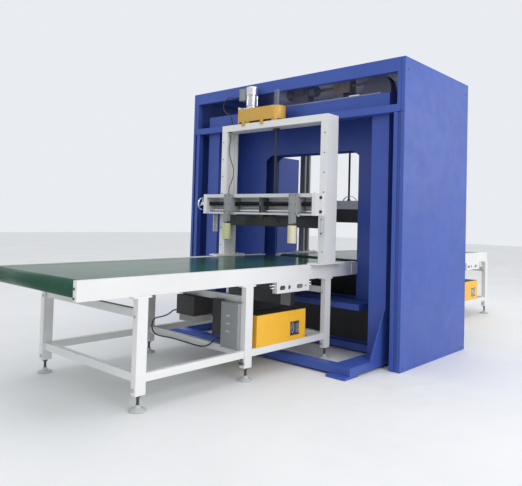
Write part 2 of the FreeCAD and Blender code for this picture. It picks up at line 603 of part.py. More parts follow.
def belt(side, start, end):
    """Endless belt: the loop between its outer and its inner outline, across the line."""
    solids = []
    for name, radius in (("outer", "(drum_radius + belt_thickness)"), ("inner", "(drum_radius + seat_gap)")):
        first = rod("%s_belt_%s_first" % (side, name), "y", start + " + drum_inset", "-" + BELT_HALF, DRUM_MIDDLE,
                    radius, "2*" + BELT_HALF)
        last = rod("%s_belt_%s_last" % (side, name), "y", end + " - drum_inset", "-" + BELT_HALF, DRUM_MIDDLE,
                   radius, "2*" + BELT_HALF)
        run = box("%s_belt_%s_run" % (side, name), start + " + drum_inset", "-" + BELT_HALF,
                  "%s - %s" % (DRUM_MIDDLE, radius), "%s - %s - 2*drum_inset" % (end, start),
                  "2*" + BELT_HALF, "2*" + radius)
        solids.append(fuse("%s_belt_%s" % (side, name), [first, last, run]))
    return cut(side + "_belt_loop", solids[0], solids[1])


def drum(name, place):
    """Drum under the belt, on a shaft that ends inside the rails."""
    shell = flat_bar(name + "_shell", "y", 24, place, "-" + BELT_HALF, DRUM_MIDDLE, "drum_radius", "2*" + BELT_HALF)
    shaft = flat_bar(name + "_shaft", "y", 8, place, "-frame_half + shaft_wall + shaft_play", DRUM_MIDDLE,
                     "shaft_radius", "2*(frame_half - shaft_wall - shaft_play)")
    return fuse(name, [shell, shaft])


def bed(side, start, end):
    """Slider bed under the belt, on ribs between the rails."""
    low = "(belt_top - belt_thickness - bed_sheet)"
    span = "(%s - %s)" % (end, start)
    pieces = [box(side + "_bed", start + " + 2*drum_inset", "-" + BELT_HALF, low,
                  span + " - 4*drum_inset", "2*" + BELT_HALF, "bed_sheet")]
    for index in range(3):
        place = "%s + %s*%d/6" % (start, span, 2*index + 1)
        pieces.append(box("%s_bed_rib_%d" % (side, index), place + " - rib_width/2",
                          "-frame_half + rail_thickness", low + " - rib_width", "rib_width",
                          "2*(frame_half - rail_thickness)", "rib_width"))
    return fuse(side + "_bed_frame", pieces)


def leg(name, place):
    """Leg tube with the flange that bolts under the rail."""
    tube = prism(name + "_tube", "XY_Plane",
                 [rectangle(place + " - leg_depth/2", place + " + leg_depth/2", "-" + LEG_SIDE,
                            "-%s + leg_width" % LEG_SIDE)], "%s - leg_bottom" % RAIL_LOW, z="leg_bottom")
    flange = box(name + "_flange", place + " - leg_depth/2 - flange_reach", "-" + LEG_SIDE,
                 RAIL_LOW + " - flange_sheet", "leg_depth + 2*flange_reach", "leg_overhang + rail_thickness",
                 "flange_sheet")
    return fuse(name, [tube, flange])


def foot(name, place):
    """Levelling foot: disc, threaded stem and lock nut."""
    y = "-%s + leg_width/2" % LEG_SIDE
    disc = flat_bar(name + "_disc", "z", 12, place, y, "0", "foot_radius", "foot_height")
    stem = flat_bar(name + "_stem", "z", 6, place, y, "foot_height", "stem_radius", "leg_bottom - foot_height")
    nut = flat_bar(name + "_nut", "z", 6, place, y, "leg_bottom - nut_height", "nut_radius", "nut_height")
    return fuse(name, [disc, stem, nut])


def drive_bracket(name, start):
    """Channel bracket under the near rail, with slots and holes for fixing a drive."""
    low = "(%s - bracket_height)" % RAIL_LOW
    face = box(name + "_face", start, "-frame_half", low, "bracket_length", "bracket_sheet", "bracket_height")
    pieces = [face]
    for index, place in enumerate((start, start + " + bracket_length - bracket_sheet")):
        pieces.append(box("%s_return_%d" % (name, index), place, "-frame_half", low, "bracket_sheet",
                          "bracket_return", "bracket_height"))
    height = "%s + bracket_hole_height" % low
    tools = [flat_bar(name + "_hole_0", "y", 16, start + " + first_hole", "-frame_half", height,
                      "bracket_slot_radius", "bracket_sheet"),
             flat_bar(name + "_hole_1", "y", 16, start + " + second_hole", "-frame_half", height,
                      "second_hole_radius", "bracket_sheet")]
    for word in ("first_slot", "second_slot"):
        length = word + "_length"
        tools.append(box("%s_%s" % (name, word), "%s + %s" % (start, word), "-frame_half",
                         height + " - bracket_slot_radius", length, "bracket_sheet", "2*bracket_slot_radius"))
        for end in ("", " + " + length):
            tools.append(flat_bar("%s_%s_end%d" % (name, word, len(tools)), "y", 16,
                                  "%s + %s%s" % (start, word, end), "-frame_half", height,
                                  "bracket_slot_radius", "bracket_sheet"))
    return cut(name, fuse(name + "_full", pieces), fuse(name + "_tools", tools))


def conveyor(side, start, end, legs, bracket, drive_box, pieces):
    """Belt conveyor between two places on the line, on legs at three stations."""
    near_end, far_end = start + " + drum_inset", end + " - drum_inset"
    if side == "infeed":
        side_rail = rail(side, start, end, near_end, far_end, FRONT_PLATE + " - end_bracket_length")
    else:
        side_rail = rail(side, start, end, far_end, near_end, REAR_PLATE)
    pieces["conveyor_rails"] += [side_rail, mirror_y(side + "_rail_far", side_rail)]
    pieces["conveyor_belts"].append(belt(side, start, end))
    pieces["conveyor_drums"] += [drum("%s_drum_%d" % (side, i), place) for i, place in enumerate((near_end, far_end))]
    pieces["belt_beds"].append(bed(side, start, end))

    for index, place in enumerate(legs):
        near = leg("%s_leg_%d" % (side, index), place)
        pieces["conveyor_legs"] += [near, mirror_y("%s_leg_far_%d" % (side, index), near)]
        for level, low in enumerate(("stretcher_low", "tie_low")):
            pieces["leg_stretchers"].append(
                box("%s_tie_%d_%d" % (side, index, level), place + " - stretcher_width/2",
                    "-%s + leg_width" % LEG_SIDE, low, "stretcher_width", "2*(%s - leg_width)" % LEG_SIDE,
                    "stretcher_height"))
        stand = foot("%s_foot_%d" % (side, index), place)
        pieces["levelling_feet"] += [stand, mirror_y("%s_foot_far_%d" % (side, index), stand)]

    inner = "-%s + (leg_width - stretcher_width)/2" % LEG_SIDE
    for index in (0, 1):
        stretcher = box("%s_stretcher_%d" % (side, index), legs[index] + " + leg_depth/2", inner, "stretcher_low",
                        "%s - %s - leg_depth" % (legs[index + 1], legs[index]), "stretcher_width",
                        "stretcher_height")
        pieces["leg_stretchers"] += [stretcher, mirror_y("%s_stretcher_far_%d" % (side, index), stretcher)]

    span = "(%s - %s)" % (legs[2], legs[1])
    start = "(%s + (%s - bracket_length)*%s)" % (legs[1], span, bracket)
    pieces["drive_brackets"].append(drive_bracket(side + "_bracket", start))
    start = "%s + (%s - drive_box_length)*%s" % (legs[1], span, drive_box)
    pieces["drive_boxes"].append(box(side + "_box", start, inner, "stretcher_low + stretcher_height",
                                     "drive_box_length", "drive_box_depth", "drive_box_height"))


def conveyors():
    """Both belt conveyors; like pieces of the two share a sub-part."""
    pieces = {name: [] for name in ("conveyor_rails", "conveyor_belts", "conveyor_drums", "belt_beds",
                                    "conveyor_legs", "leg_stretchers", "levelling_feet", "drive_brackets",
                                    "drive_boxes")}
    conveyor("infeed", "-line_half", INFEED_END, INFEED_LEGS, "infeed_bracket_share", "infeed_box_share", pieces)
    conveyor("outfeed", OUTFEED_START, "line_half", OUTFEED_LEGS, "outfeed_bracket_share", "outfeed_box_share",
             pieces)
    for name, solids in pieces.items():
        keep(group(name + "_set", solids), name)


def belt_drive():
    """Geared motor hung from the tie of the second infeed legs, and the junction box beside it."""
    start = INFEED_LEGS[1] + " - belt_motor_place"
    low = "(tie_low - belt_motor_height)"
    motor = box("belt_motor", start, "-belt_motor_near", low, "belt_motor_length", "belt_motor_width",
                "belt_motor_height")
    base = box("belt_motor_base", start, "-belt_motor_near", low + " - gear_base_height", "gear_base_length",
               "gear_base_width", "gear_base_height")
    place = INFEED_LEGS[1] + " - belt_gland_place"
    motor_gland = flat_bar("belt_gland", "y", 12, place, "belt_motor_width - belt_motor_near",
                           "tie_low - belt_gland_drop", "gland_radius", "short_gland")
    side = "(-%s + leg_width)" % LEG_SIDE
    junction_low = "(stretcher_low + stretcher_height)"
    junction = box("junction", INFEED_LEGS[1] + " - stretcher_width/2 - junction_overhang", side, junction_low,
                   "stretcher_width + junction_overhang", "junction_width", "tie_low - " + junction_low)
    gland = flat_bar("junction_gland", "y", 12, place, side + " + junction_width",
                     junction_low + " + junction_gland_rise", "gland_radius", "short_gland")
    keep(group("belt_drive_set", [fuse("belt_motor_full", [motor, base, motor_gland]),
                                  fuse("junction_full", [junction, gland])]), "infeed_belt_drive")


# Gantries

def gantry(side, front, depth, top):
    """Posts with a recess on their inner faces, feet on the rails and a beam."""
    foot_top = "(%s + gantry_foot_sheet)" % RAIL_TOP
    outer = "-" + GANTRY_HALF
    inner = "(-%s + gantry_post_width)" % GANTRY_HALF
    back = "%s + %s" % (front, depth)
    corners = [(front, outer), (back, outer), (back, inner), (back + " - recess_wall", inner),
               (back + " - recess_wall", inner + " - recess_depth"),
               (front + " + recess_wall", inner + " - recess_depth"), (front + " + recess_wall", inner),
               (front, inner)]
    post = prism(side + "_post", "XY_Plane", [corners], "%s - gantry_beam_height - %s" % (top, foot_top), z=foot_top)
    keep(both_sides(side + "_posts", post), side + "_gantry_posts")
    middle = "%s + %s/2" % (front, depth)
    beam_low = top + " - gantry_beam_height"
    beam = box(side + "_beam", front, outer, beam_low, depth, "2*" + GANTRY_HALF, "gantry_beam_height")
    hole = flat_bar(side + "_beam_hole", "z", 16, middle, "0", beam_low, "rod_radius + rod_room",
                    "gantry_beam_height")
    bush_low = beam_low + " - bush_height"
    bush = flat_bar(side + "_bush_body", "z", 16, middle, "0", bush_low, "bush_radius", "bush_height")
    bore = flat_bar(side + "_bush_bore", "z", 16, middle, "0", bush_low, "rod_radius + rod_clearance", "bush_height")
    pieces = [cut(side + "_beam_cut", beam, hole), cut(side + "_bush_cut", bush, bore)]
    if side == "infeed":
        pieces.append(flat_bar("beam_gland", "z", 12, middle, "beam_gland_side", top, "gland_radius", "gland_length"))
        pieces.append(flat_bar("low_gland", "z", 12, front + " + low_gland_inset", "low_gland_side",
                               beam_low + " - gland_length", "gland_radius", "gland_length"))
    keep(fuse(side + "_beam_full", pieces), side + "_gantry_beam")
    return box(side + "_foot_plate", front + " - gantry_foot_reach", outer + " - gantry_foot_overhang", RAIL_TOP,
               depth + " + 2*gantry_foot_reach",
               "gantry_overhang + gantry_foot_overhang + rail_thickness", "gantry_foot_sheet")


def gantries():
    """The gantry over each belt; their foot plates share a sub-part."""
    plates = []
    for side, front, depth, top in (("infeed", INFEED_GANTRY, "infeed_gantry_depth", INFEED_TOP),
                                    ("outfeed", OUTFEED_GANTRY, "outfeed_gantry_depth", OUTFEED_TOP)):
        plate = gantry(side, front, depth, top)
        plates += [plate, mirror_y(side + "_foot_plate_far", plate)]
    keep(group("gantry_feet_set", plates), "gantry_feet")


def press(side, front, depth, top, low, height, rod_start):
    """Press beam with shoes in the post recesses, and the rod that lifts it."""
    middle = "(%s + %s/2)" % (front, depth)
    half = "(frame_half - press_margin)"
    beam = box(side + "_press_bar", middle + " - press_depth/2", "-" + half, low, "press_depth", "2*" + half, height)
    reach = "(%s - gantry_post_width + recess_depth - press_clearance)" % GANTRY_HALF
    shoe = "(%s - 2*recess_wall - 2*press_clearance)" % depth
    shoes = box(side + "_press_shoes", "%s - %s/2" % (middle, shoe), "-" + reach, low + " + shoe_inset", shoe,
                "2*" + reach, height + " - 2*shoe_inset")
    keep(fuse(side + "_press_full", [beam, shoes]), side + "_press_beam")
    keep(flat_bar(side + "_press_lift_rod", "z", 16, middle, "0", rod_start, "rod_radius",
                  "%s + press_drop + rod_spare - (%s)" % (top, rod_start)), side + "_press_rod")


def press_rail():
    """Rail on the outfeed press beam, with a bent strap as a lifting hoop."""
    middle = "(%s + outfeed_gantry_depth/2)" % OUTFEED_GANTRY
    half = "(frame_half - press_margin)"
    low = "(outfeed_press_low + outfeed_press_height)"
    top = "(%s + press_rail_height)" % low
    bar = box("press_rail_bar", middle + " - press_depth/2", "-" + half, low, "press_depth", "2*" + half,
              "press_rail_height")
    centre = top + " - hoop_centre"
    front = middle + " - press_depth/2"
    outer = flat_bar("hoop_outer", "x", 20, front, "-hoop_side", centre, "hoop_radius", "hoop_width")
    inner = flat_bar("hoop_inner", "x", 20, front, "-hoop_side", centre, "hoop_radius - hoop_sheet", "hoop_width")
    below = box("hoop_below", front, "-hoop_side - hoop_radius", centre + " - hoop_radius", "hoop_width",
                "2*hoop_radius", "hoop_radius + hoop_centre")
    hoop = cut("hoop", cut("hoop_ring", outer, inner), below)
    keep(fuse("press_rail_full", [bar, hoop]), "outfeed_press_rail")


def lift_drive():
    """Chain cover, tube over the rising rod and geared motor on the infeed gantry."""
    middle = "(%s + infeed_gantry_depth/2)" % INFEED_GANTRY
    low = "(%s + cover_gap)" % INFEED_TOP
    near = rod("cover_near", "z", middle, "0", low, "cover_radius", "cover_height")
    run = box("cover_run", middle + " - cover_radius", "0", low, "2*cover_radius", "motor_offset + cover_end",
              "cover_height")
    hole = rod("cover_hole", "z", middle, "0", low, "tube_bore", "cover_height")
    pieces = [cut("cover_cut", fuse("cover_outer", [near, run]), hole)]
    for index, place in enumerate(("-near_seat", "far_seat")):
        for edge, offset in (("front", " - cover_radius + cover_seat_inset"),
                             ("back", " + cover_radius - cover_seat_inset - cover_seat_width")):
            pieces.append(box("cover_seat_%s_%d" % (edge, index), middle + offset, place, INFEED_TOP,
                              "cover_seat_width", "cover_seat_length", "cover_gap"))
    keep(fuse("cover_full", pieces), "infeed_drive_cover")
    top = "(%s + cover_height)" % low
    tube = flat_bar("tube_outer", "z", 20, middle, "0", top, "tube_radius", "tube_height")
    bore = flat_bar("tube_bore_tool", "z", 16, middle, "0", top, "tube_bore", "tube_height - tube_cap")
    keep(cut("tube_cut", tube, bore), "infeed_rod_tube")
    flange = box("motor_flange", middle + " - flange_half", "motor_offset - flange_half", top, "2*flange_half",
                 "2*flange_half", "flange_height")
    can = flat_bar("motor_can", "z", 24, middle, "motor_offset", top, "motor_radius", "motor_height")
    cowl = flat_bar("motor_cowl", "z", 24, middle, "motor_offset", top + " + motor_height", "cowl_radius",
                    "cowl_height")
    terminal = box("motor_box", middle + " - terminal_length/2", "motor_offset + motor_radius - terminal_seat",
                   top + " + terminal_low", "terminal_length", "terminal_width", "terminal_height")
    gland = flat_bar("motor_gland", "y", 12, middle, "motor_offset + motor_radius - terminal_seat + terminal_width",
                     top + " + terminal_gland_height", "gland_radius", "short_gland")
    keep(fuse("motor_full", [flange, can, cowl, terminal, gland]), "infeed_gear_motor")


# Side guide unit on the infeed gantry

def guide_ways(name, near, width):
    """Cutting tool for what slides or is held on the screw and the rod."""
    screw = flat_bar(name + "_screw_way", "y", 24, GUIDE_AXIS, near, SCREW_HEIGHT,
                     "guide_screw + carriage_clearance", width)
    way = flat_bar(name + "_rod_way", "y", 24, GUIDE_AXIS, near, ROD_HEIGHT, "guide_rod + carriage_clearance", width)
    return fuse(name + "_ways", [screw, way])


def guide_strip(name, outer):
    """Slotted strip that hangs below the channel, for fixing a sensor."""
    start = "(%s + strip_inset)" % GUIDE_FRONT
    plate = box(name, start, outer, "guide_low - strip_drop", "strip_width", "strip_sheet", "strip_drop")
    middle = start + " + strip_width/2"
    low = "guide_low - (strip_drop + strip_slot_length)/2"
    slot = [box(name + "_slot", middle + " - strip_slot_radius", outer, low, "2*strip_slot_radius", "strip_sheet",
                "strip_slot_length")]
    for index, height in enumerate((low, low + " + strip_slot_length")):
        slot.append(flat_bar("%s_slot_end_%d" % (name, index), "y", 8, middle, outer, height, "strip_slot_radius",
                             "strip_sheet"))
    return cut(name + "_cut", plate, fuse(name + "_slot_full", slot))


def guide_unit():
    """Channel with end blocks across the front of the infeed gantry, and the screw and rod in it."""
    front = "(%s + guide_recess)" % GUIDE_FRONT
    back = "(%s - guide_back)" % INFEED_GANTRY
    low_lip = "guide_low + guide_low_flange"
    top_lip = GUIDE_TOP + " - guide_top_flange"
    corners = [(front, "guide_low"), (front, low_lip), (back, low_lip), (back, top_lip), (front, top_lip),
               (front, GUIDE_TOP), (INFEED_GANTRY, GUIDE_TOP), (INFEED_GANTRY, "guide_low")]
    length = "(%s - %s)" % (GUIDE_FAR, GUIDE_NEAR)
    channel = prism("guide_channel_body", "XZ_Plane", [corners], length, y=GUIDE_FAR)
    pieces = [channel]
    for index, near in enumerate((GUIDE_NEAR, GUIDE_FAR + " - guide_block")):
        pieces.append(box("guide_end_%d" % index, GUIDE_FRONT, near, "guide_low", "guide_depth", "guide_block",
                          "guide_height"))
    pieces += [guide_strip("near_strip", GUIDE_NEAR), guide_strip("far_strip", GANTRY_HALF + " + strip_far_reach")]
    pieces.append(flat_bar("channel_gland", "z", 12, GUIDE_FRONT + " + channel_gland_inset", "channel_gland_side",
                           GUIDE_TOP, "gland_radius", "gland_length"))
    keep(fuse("guide_channel_full", pieces), "guide_channel")

    start = GUIDE_NEAR + " + guide_block"
    length = length + " - 2*guide_block"
    screw = flat_bar("guide_screw_rod", "y", 16, GUIDE_AXIS, start, SCREW_HEIGHT, "guide_screw", length)
    way = flat_bar("guide_rod_rod", "y", 16, GUIDE_AXIS, start, ROD_HEIGHT, "guide_rod", length)
    keep(group("guide_bar_set", [screw, way]), "guide_bars")

    near = "-bearing_width/2"
    house = box("bearing_house", front, near, low_lip, "%s - %s" % (back, front), "bearing_width",
                "guide_height - guide_low_flange - guide_top_flange")
    keep(cut("bearing_cut", house, guide_ways("bearing", near, "bearing_width")), "guide_centre_bearing")


def handwheel():
    """Spoked handwheel on the far end of the guide screw."""
    start = GUIDE_FAR + " + wheel_place - wheel_rim"
    rim = cut("wheel_rim_ring",
              flat_bar("wheel_rim_outer", "y", 24, GUIDE_AXIS, start, SCREW_HEIGHT, "wheel_radius + wheel_rim",
                       "2*wheel_rim"),
              flat_bar("wheel_rim_inner", "y", 24, GUIDE_AXIS, start, SCREW_HEIGHT, "wheel_radius - wheel_rim",
                       "2*wheel_rim"))
    hub = flat_bar("wheel_hub", "y", 12, GUIDE_AXIS, GUIDE_FAR, SCREW_HEIGHT, "wheel_hub_radius", "wheel_hub_length")
    near = GUIDE_FAR + " + wheel_place - spoke_sheet/2"
    across = box("wheel_spoke", GUIDE_AXIS + " - wheel_radius", near, SCREW_HEIGHT + " - spoke_width/2",
                 "2*wheel_radius", "spoke_sheet", "spoke_width")
    upright = box("wheel_spoke_post", GUIDE_AXIS + " - spoke_width/2", near, SCREW_HEIGHT + " - wheel_radius",
                  "spoke_width", "spoke_sheet", "2*wheel_radius")
    keep(fuse("wheel", [hub, rim, across, upright]), "guide_handwheel")


def carriage(label, sign):
    """Carriage on the screw and rod, with the roller that guides the product."""
    place = "%scarriage_place" % sign
    near = place + " - carriage_width/2"
    front = "(%s - carriage_plate)" % GUIDE_FRONT
    low = "guide_low + guide_low_flange + guide_clearance"
    plate = box(label + "_plate", front, near, "guide_low", "carriage_plate", "carriage_width", "guide_height")
    nut = box(label + "_nut", GUIDE_FRONT, near, low, "guide_depth - guide_back - guide_clearance",
              "carriage_width", "guide_height - guide_low_flange - guide_top_flange - 2*guide_clearance")
    body = cut(label + "_body", fuse(label + "_block", [plate, nut]), guide_ways(label, near, "carriage_width"))
    top = "guide_roller_low + guide_roller_height"
    arm = box(label + "_arm", front + " - carriage_arm_width/2", place + " - carriage_arm_width/2",
              top + " + carriage_axle", "carriage_arm_width", "carriage_arm_width",
              "guide_low - guide_roller_low - guide_roller_height - carriage_axle")
    axle = flat_bar(label + "_axle", "z", 8, front, place, top, "carriage_axle", "carriage_axle")
    keep(fuse(label + "_full", [body, arm, axle]), label + "_guide_carriage")
    keep(flat_bar(label + "_roller", "z", 24, front, place, "guide_roller_low", "guide_roller_radius",
             "guide_roller_height"), label + "_guide_roller")


def cables():
    """Cables of the lift motor, down the far post to the guide, and of the belt's motor."""
    middle = "(%s + infeed_gantry_depth/2)" % INFEED_GANTRY
    motor_top = "(%s + cover_gap + cover_height)" % INFEED_TOP
    cable("motor_cable", "thick_cable",
          (middle, "motor_offset + motor_radius - terminal_seat + terminal_width + short_gland",
           motor_top + " + terminal_gland_height"),
          [(0, 80, 0), (0, 179, 23), (0, 259, 0), (0, 289, -65)],
          [(0, 115, 150), (0, 48, 120), (0, 0, 67)],
          (middle, "beam_gland_side", INFEED_TOP + " + gland_length"))
    cable("gantry_cable", "thin_cable",
          (INFEED_GANTRY + " + low_gland_inset", "low_gland_side",
           INFEED_TOP + " - gantry_beam_height - gland_length"),
          [(0, 0, -60), (-22, -3, -170), (-8, -11, -262), (32, -25, -350), (15, -40, -440)],
          [(52, 20, 102), (0, 0, 57)],
          (GUIDE_FRONT + " + channel_gland_inset", "channel_gland_side", GUIDE_TOP + " + gland_length"))
    place = INFEED_LEGS[1] + " - belt_gland_place"
    cable("belt_drive_cable", "thick_cable",
          (place, "belt_motor_width - belt_motor_near + short_gland", "tie_low - belt_gland_drop"),
          [(0, 70, 0), (0, 132, -50), (0, 230, -88), (0, 340, -112), (0, 382, -180), (0, 348, -250),
           (0, 255, -260)],
          [(0, 620, -90), (0, 450, -94), (0, 300, -101), (0, 190, -94), (0, 115, -55), (0, 65, 0)],
          (place, "-%s + leg_width + junction_width + short_gland" % LEG_SIDE,
           "stretcher_low + stretcher_height + junction_gland_rise"))


def build():
    side_panels()
    posts()
    head_frames()
    head_rails()
    roof()
    columns()
    head_beams()
    ring_plates()
    wrapping_ring()
    ring_rollers()
    film_unit()
    ring_drive()
    base_frame()
    gussets()
    shelf()
    cabinet()
    conveyors()
    belt_drive()
    gantries()
    press("infeed", INFEED_GANTRY, "infeed_gantry_depth", INFEED_TOP, "press_low", "press_height",
          "press_low + press_height")
    press("outfeed", OUTFEED_GANTRY, "outfeed_gantry_depth", OUTFEED_TOP, "outfeed_press_low",
          "outfeed_press_height", "outfeed_press_low + outfeed_press_height + press_rail_height")
    press_rail()
    lift_drive()
    guide_unit()
    handwheel()
    carriage("near", "-")
    carriage("far", "")
    cables()


def check(items):
    """Stop on a failed object or a bad shape before anything is written."""
    for item in items:
        if "Invalid" in item.State or "Error" in item.State:
            raise RuntimeError("%s is in state %s" % (item.Label, item.State))
    for part in parts:
        if part.Shape.isNull() or not part.Shape.isValid():
            raise RuntimeError("%s has no valid shape" % part.Label)


build()
doc.recompute()
check(doc.Objects)
os.makedirs("parts", exist_ok=True)
for part in parts:
    part.Shape.exportStep("parts/%s.step" % part.Label)
print(len(parts), "sub-parts")
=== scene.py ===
import bmesh
import bpy
import math
from mathutils import Matrix, Vector


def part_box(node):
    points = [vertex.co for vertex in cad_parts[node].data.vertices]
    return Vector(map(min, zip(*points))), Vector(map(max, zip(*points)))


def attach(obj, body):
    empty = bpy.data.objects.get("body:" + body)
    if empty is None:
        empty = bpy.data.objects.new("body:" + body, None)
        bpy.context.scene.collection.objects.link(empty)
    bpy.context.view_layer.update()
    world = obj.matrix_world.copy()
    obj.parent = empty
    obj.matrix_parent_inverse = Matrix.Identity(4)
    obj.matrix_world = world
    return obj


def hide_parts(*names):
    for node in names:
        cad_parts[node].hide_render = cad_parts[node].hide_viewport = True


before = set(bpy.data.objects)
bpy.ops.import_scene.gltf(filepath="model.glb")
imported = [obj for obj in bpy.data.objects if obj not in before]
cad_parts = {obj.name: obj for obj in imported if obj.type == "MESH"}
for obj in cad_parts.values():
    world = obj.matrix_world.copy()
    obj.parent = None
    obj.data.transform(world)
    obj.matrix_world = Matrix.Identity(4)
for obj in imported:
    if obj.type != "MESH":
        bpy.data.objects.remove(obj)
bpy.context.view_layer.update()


# Materials

PATCHES = (0.32, 0.68)
SPOTS = (0.62, 0.80)
GLOSS = (0.3, 0.7)
SPOT_SCALE = 23.0
GLOSS_SCALE = 7.0
COAT_ROUGHNESS = 0.12
RELIEF_DEPTH = 0.002
WORN = 0.55


def noise(tree, scale, detail=4.0, stretch=(1, 1, 1)):
    """Noise over the place in the frame, stretched along the axes."""
    place = tree.nodes.new("ShaderNodeTexCoord")
    mapping = tree.nodes.new("ShaderNodeMapping")
    mapping.inputs["Scale"].default_value = stretch
    texture = tree.nodes.new("ShaderNodeTexNoise")
    texture.inputs["Scale"].default_value = scale
    texture.inputs["Detail"].default_value = detail
    tree.links.new(place.outputs["Object"], mapping.inputs["Vector"])
    tree.links.new(mapping.outputs["Vector"], texture.inputs["Vector"])
    return texture.outputs["Fac"]


def ramp(tree, value, low, high, places):
    """Value run from a low to a high colour between two places."""
    node = tree.nodes.new("ShaderNodeValToRGB")
    for element, colour, place in zip(node.color_ramp.elements, (low, high), places):
        element.position = place
        element.color = (*colour, 1)
    tree.links.new(value, node.inputs["Fac"])
    return node.outputs["Color"]


def grey(value):
    """Colour with three equal parts."""
    return (value,) * 3


def shade(colour, share):
    """Colour made darker or lighter."""
    return tuple(min(1.0, c * share) for c in colour)


def finish(name, colour, rough, metal=0.0, dark=0.86, light=1.06, broad=1.6, wear=None, marks=0.5, bump=0.04,
           fine=260.0, stretch=(1, 1, 1), coat=0.0, specular=0.5, uneven=0.22):
    """Finish with broad and fine variation, worn spots, uneven gloss and a slight relief."""
    material = bpy.data.materials.new(name)
    material.use_nodes = True
    tree = material.node_tree
    shader = tree.nodes["Principled BSDF"]
    shader.inputs["Metallic"].default_value = metal
    shader.inputs["Specular IOR Level"].default_value = specular
    shader.inputs["Coat Weight"].default_value = coat
    shader.inputs["Coat Roughness"].default_value = COAT_ROUGHNESS

    worn = tree.nodes.new("ShaderNodeMix")
    worn.data_type = "RGBA"
    worn.inputs["B"].default_value = (*(wear or shade(colour, WORN)), 1)
    base = ramp(tree, noise(tree, broad, 5.0, stretch), shade(colour, dark), shade(colour, light), PATCHES)
    spots = ramp(tree, noise(tree, SPOT_SCALE, 8.0, stretch), grey(0.0), grey(marks), SPOTS)
    tree.links.new(base, worn.inputs["A"])
    tree.links.new(spots, worn.inputs["Factor"])
    tree.links.new(worn.outputs["Result"], shader.inputs["Base Color"])

    glossy, dull = rough * (1 - uneven), min(1.0, rough * (1 + uneven))
    gloss = ramp(tree, noise(tree, GLOSS_SCALE, 6.0, stretch), grey(glossy), grey(dull), GLOSS)
    tree.links.new(gloss, shader.inputs["Roughness"])

    relief = tree.nodes.new("ShaderNodeBump")
    relief.inputs["Strength"].default_value = bump
    relief.inputs["Distance"].default_value = RELIEF_DEPTH
    tree.links.new(noise(tree, fine, 3.0, stretch), relief.inputs["Height"])
    tree.links.new(relief.outputs["Normal"], shader.inputs["Normal"])
    return material


EVEN = {"dark": 0.93, "light": 1.03}

BLUE = finish("blue paint", (0.049, 0.097, 0.395), 0.38, dark=0.92, light=1.05, marks=0.22,
              wear=(0.04, 0.07, 0.28), bump=0.05, specular=0.36)
SEAM = finish("shaded seam", (0.012, 0.016, 0.05), 0.6, marks=0.2, wear=(0.03, 0.03, 0.05))
WHITE = finish("white paint", (0.78, 0.78, 0.77), 0.38, dark=0.95, light=1.03, wear=(0.60, 0.59, 0.56), marks=0.2,
               coat=0.1)
YELLOW = finish("yellow paint", (0.93, 0.50, 0.03), 0.36, wear=(0.6, 0.33, 0.05), coat=0.1, **EVEN)
OCHRE = finish("ochre paint", (0.62, 0.36, 0.06), 0.36, wear=(0.4, 0.25, 0.05), coat=0.1, **EVEN)
BLACK = finish("black paint", (0.018, 0.018, 0.02), 0.42, light=1.6, wear=(0.06, 0.06, 0.06))
DARK = finish("dark grey paint", (0.085, 0.09, 0.092), 0.45, light=1.2, wear=(0.14, 0.14, 0.14))
GREY = finish("grey paint", (0.30, 0.31, 0.32), 0.42, dark=0.92, wear=(0.18, 0.18, 0.18))
PALE = finish("pale grey paint", (0.30, 0.31, 0.31), 0.40, wear=(0.30, 0.30, 0.30), **EVEN)
DISC = finish("foot disc paint", (0.52, 0.53, 0.53), 0.40, wear=(0.4, 0.4, 0.38), coat=0.1, **EVEN)
# Paler than the channel's aluminium: painted light for the shaded inside of the channel.
LIT_LINING = finish("channel lining, painted light", (0.74, 0.76, 0.76), 0.40, wear=(0.55, 0.55, 0.55), **EVEN)
OUTFEED = finish("outfeed post paint", (0.33, 0.335, 0.335), 0.34, light=1.2, wear=(0.08, 0.08, 0.08), coat=0.2)
DRIVE = finish("drive paint", (0.22, 0.23, 0.33), 0.42, light=1.15, wear=(0.08, 0.08, 0.10))
GEAR = finish("gear case paint", (0.34, 0.27, 0.28), 0.5, light=1.15, wear=(0.08, 0.08, 0.10))
TUBE = finish("tube paint", (0.10, 0.12, 0.20), 0.3, light=1.15, wear=(0.08, 0.08, 0.10))

STEEL = finish("machined steel", (0.56, 0.57, 0.58), 0.30, metal=1.0, wear=(0.30, 0.30, 0.30), stretch=(1, 9, 1))
BARE = finish("zinc plated steel", (0.62, 0.63, 0.62), 0.36, metal=1.0, wear=(0.38, 0.37, 0.33), broad=9.0)
CHROME = finish("polished rod", (0.74, 0.75, 0.76), 0.12, metal=1.0, dark=0.95, wear=(0.5, 0.5, 0.5), bump=0.01)
SCREW = finish("blackened screw", (0.006, 0.006, 0.007), 0.25, light=1.3, wear=(0.02, 0.02, 0.02), specular=0.25)
CAST = finish("bright cast aluminium", (0.74, 0.75, 0.77), 0.24, metal=1.0, dark=0.9, wear=(0.45, 0.45, 0.45),
              bump=0.08)
ALUMINIUM = finish("anodised aluminium", (0.66, 0.67, 0.68), 0.36, metal=0.25, dark=0.92, wear=(0.45, 0.45, 0.45),
                   stretch=(1, 1, 6))

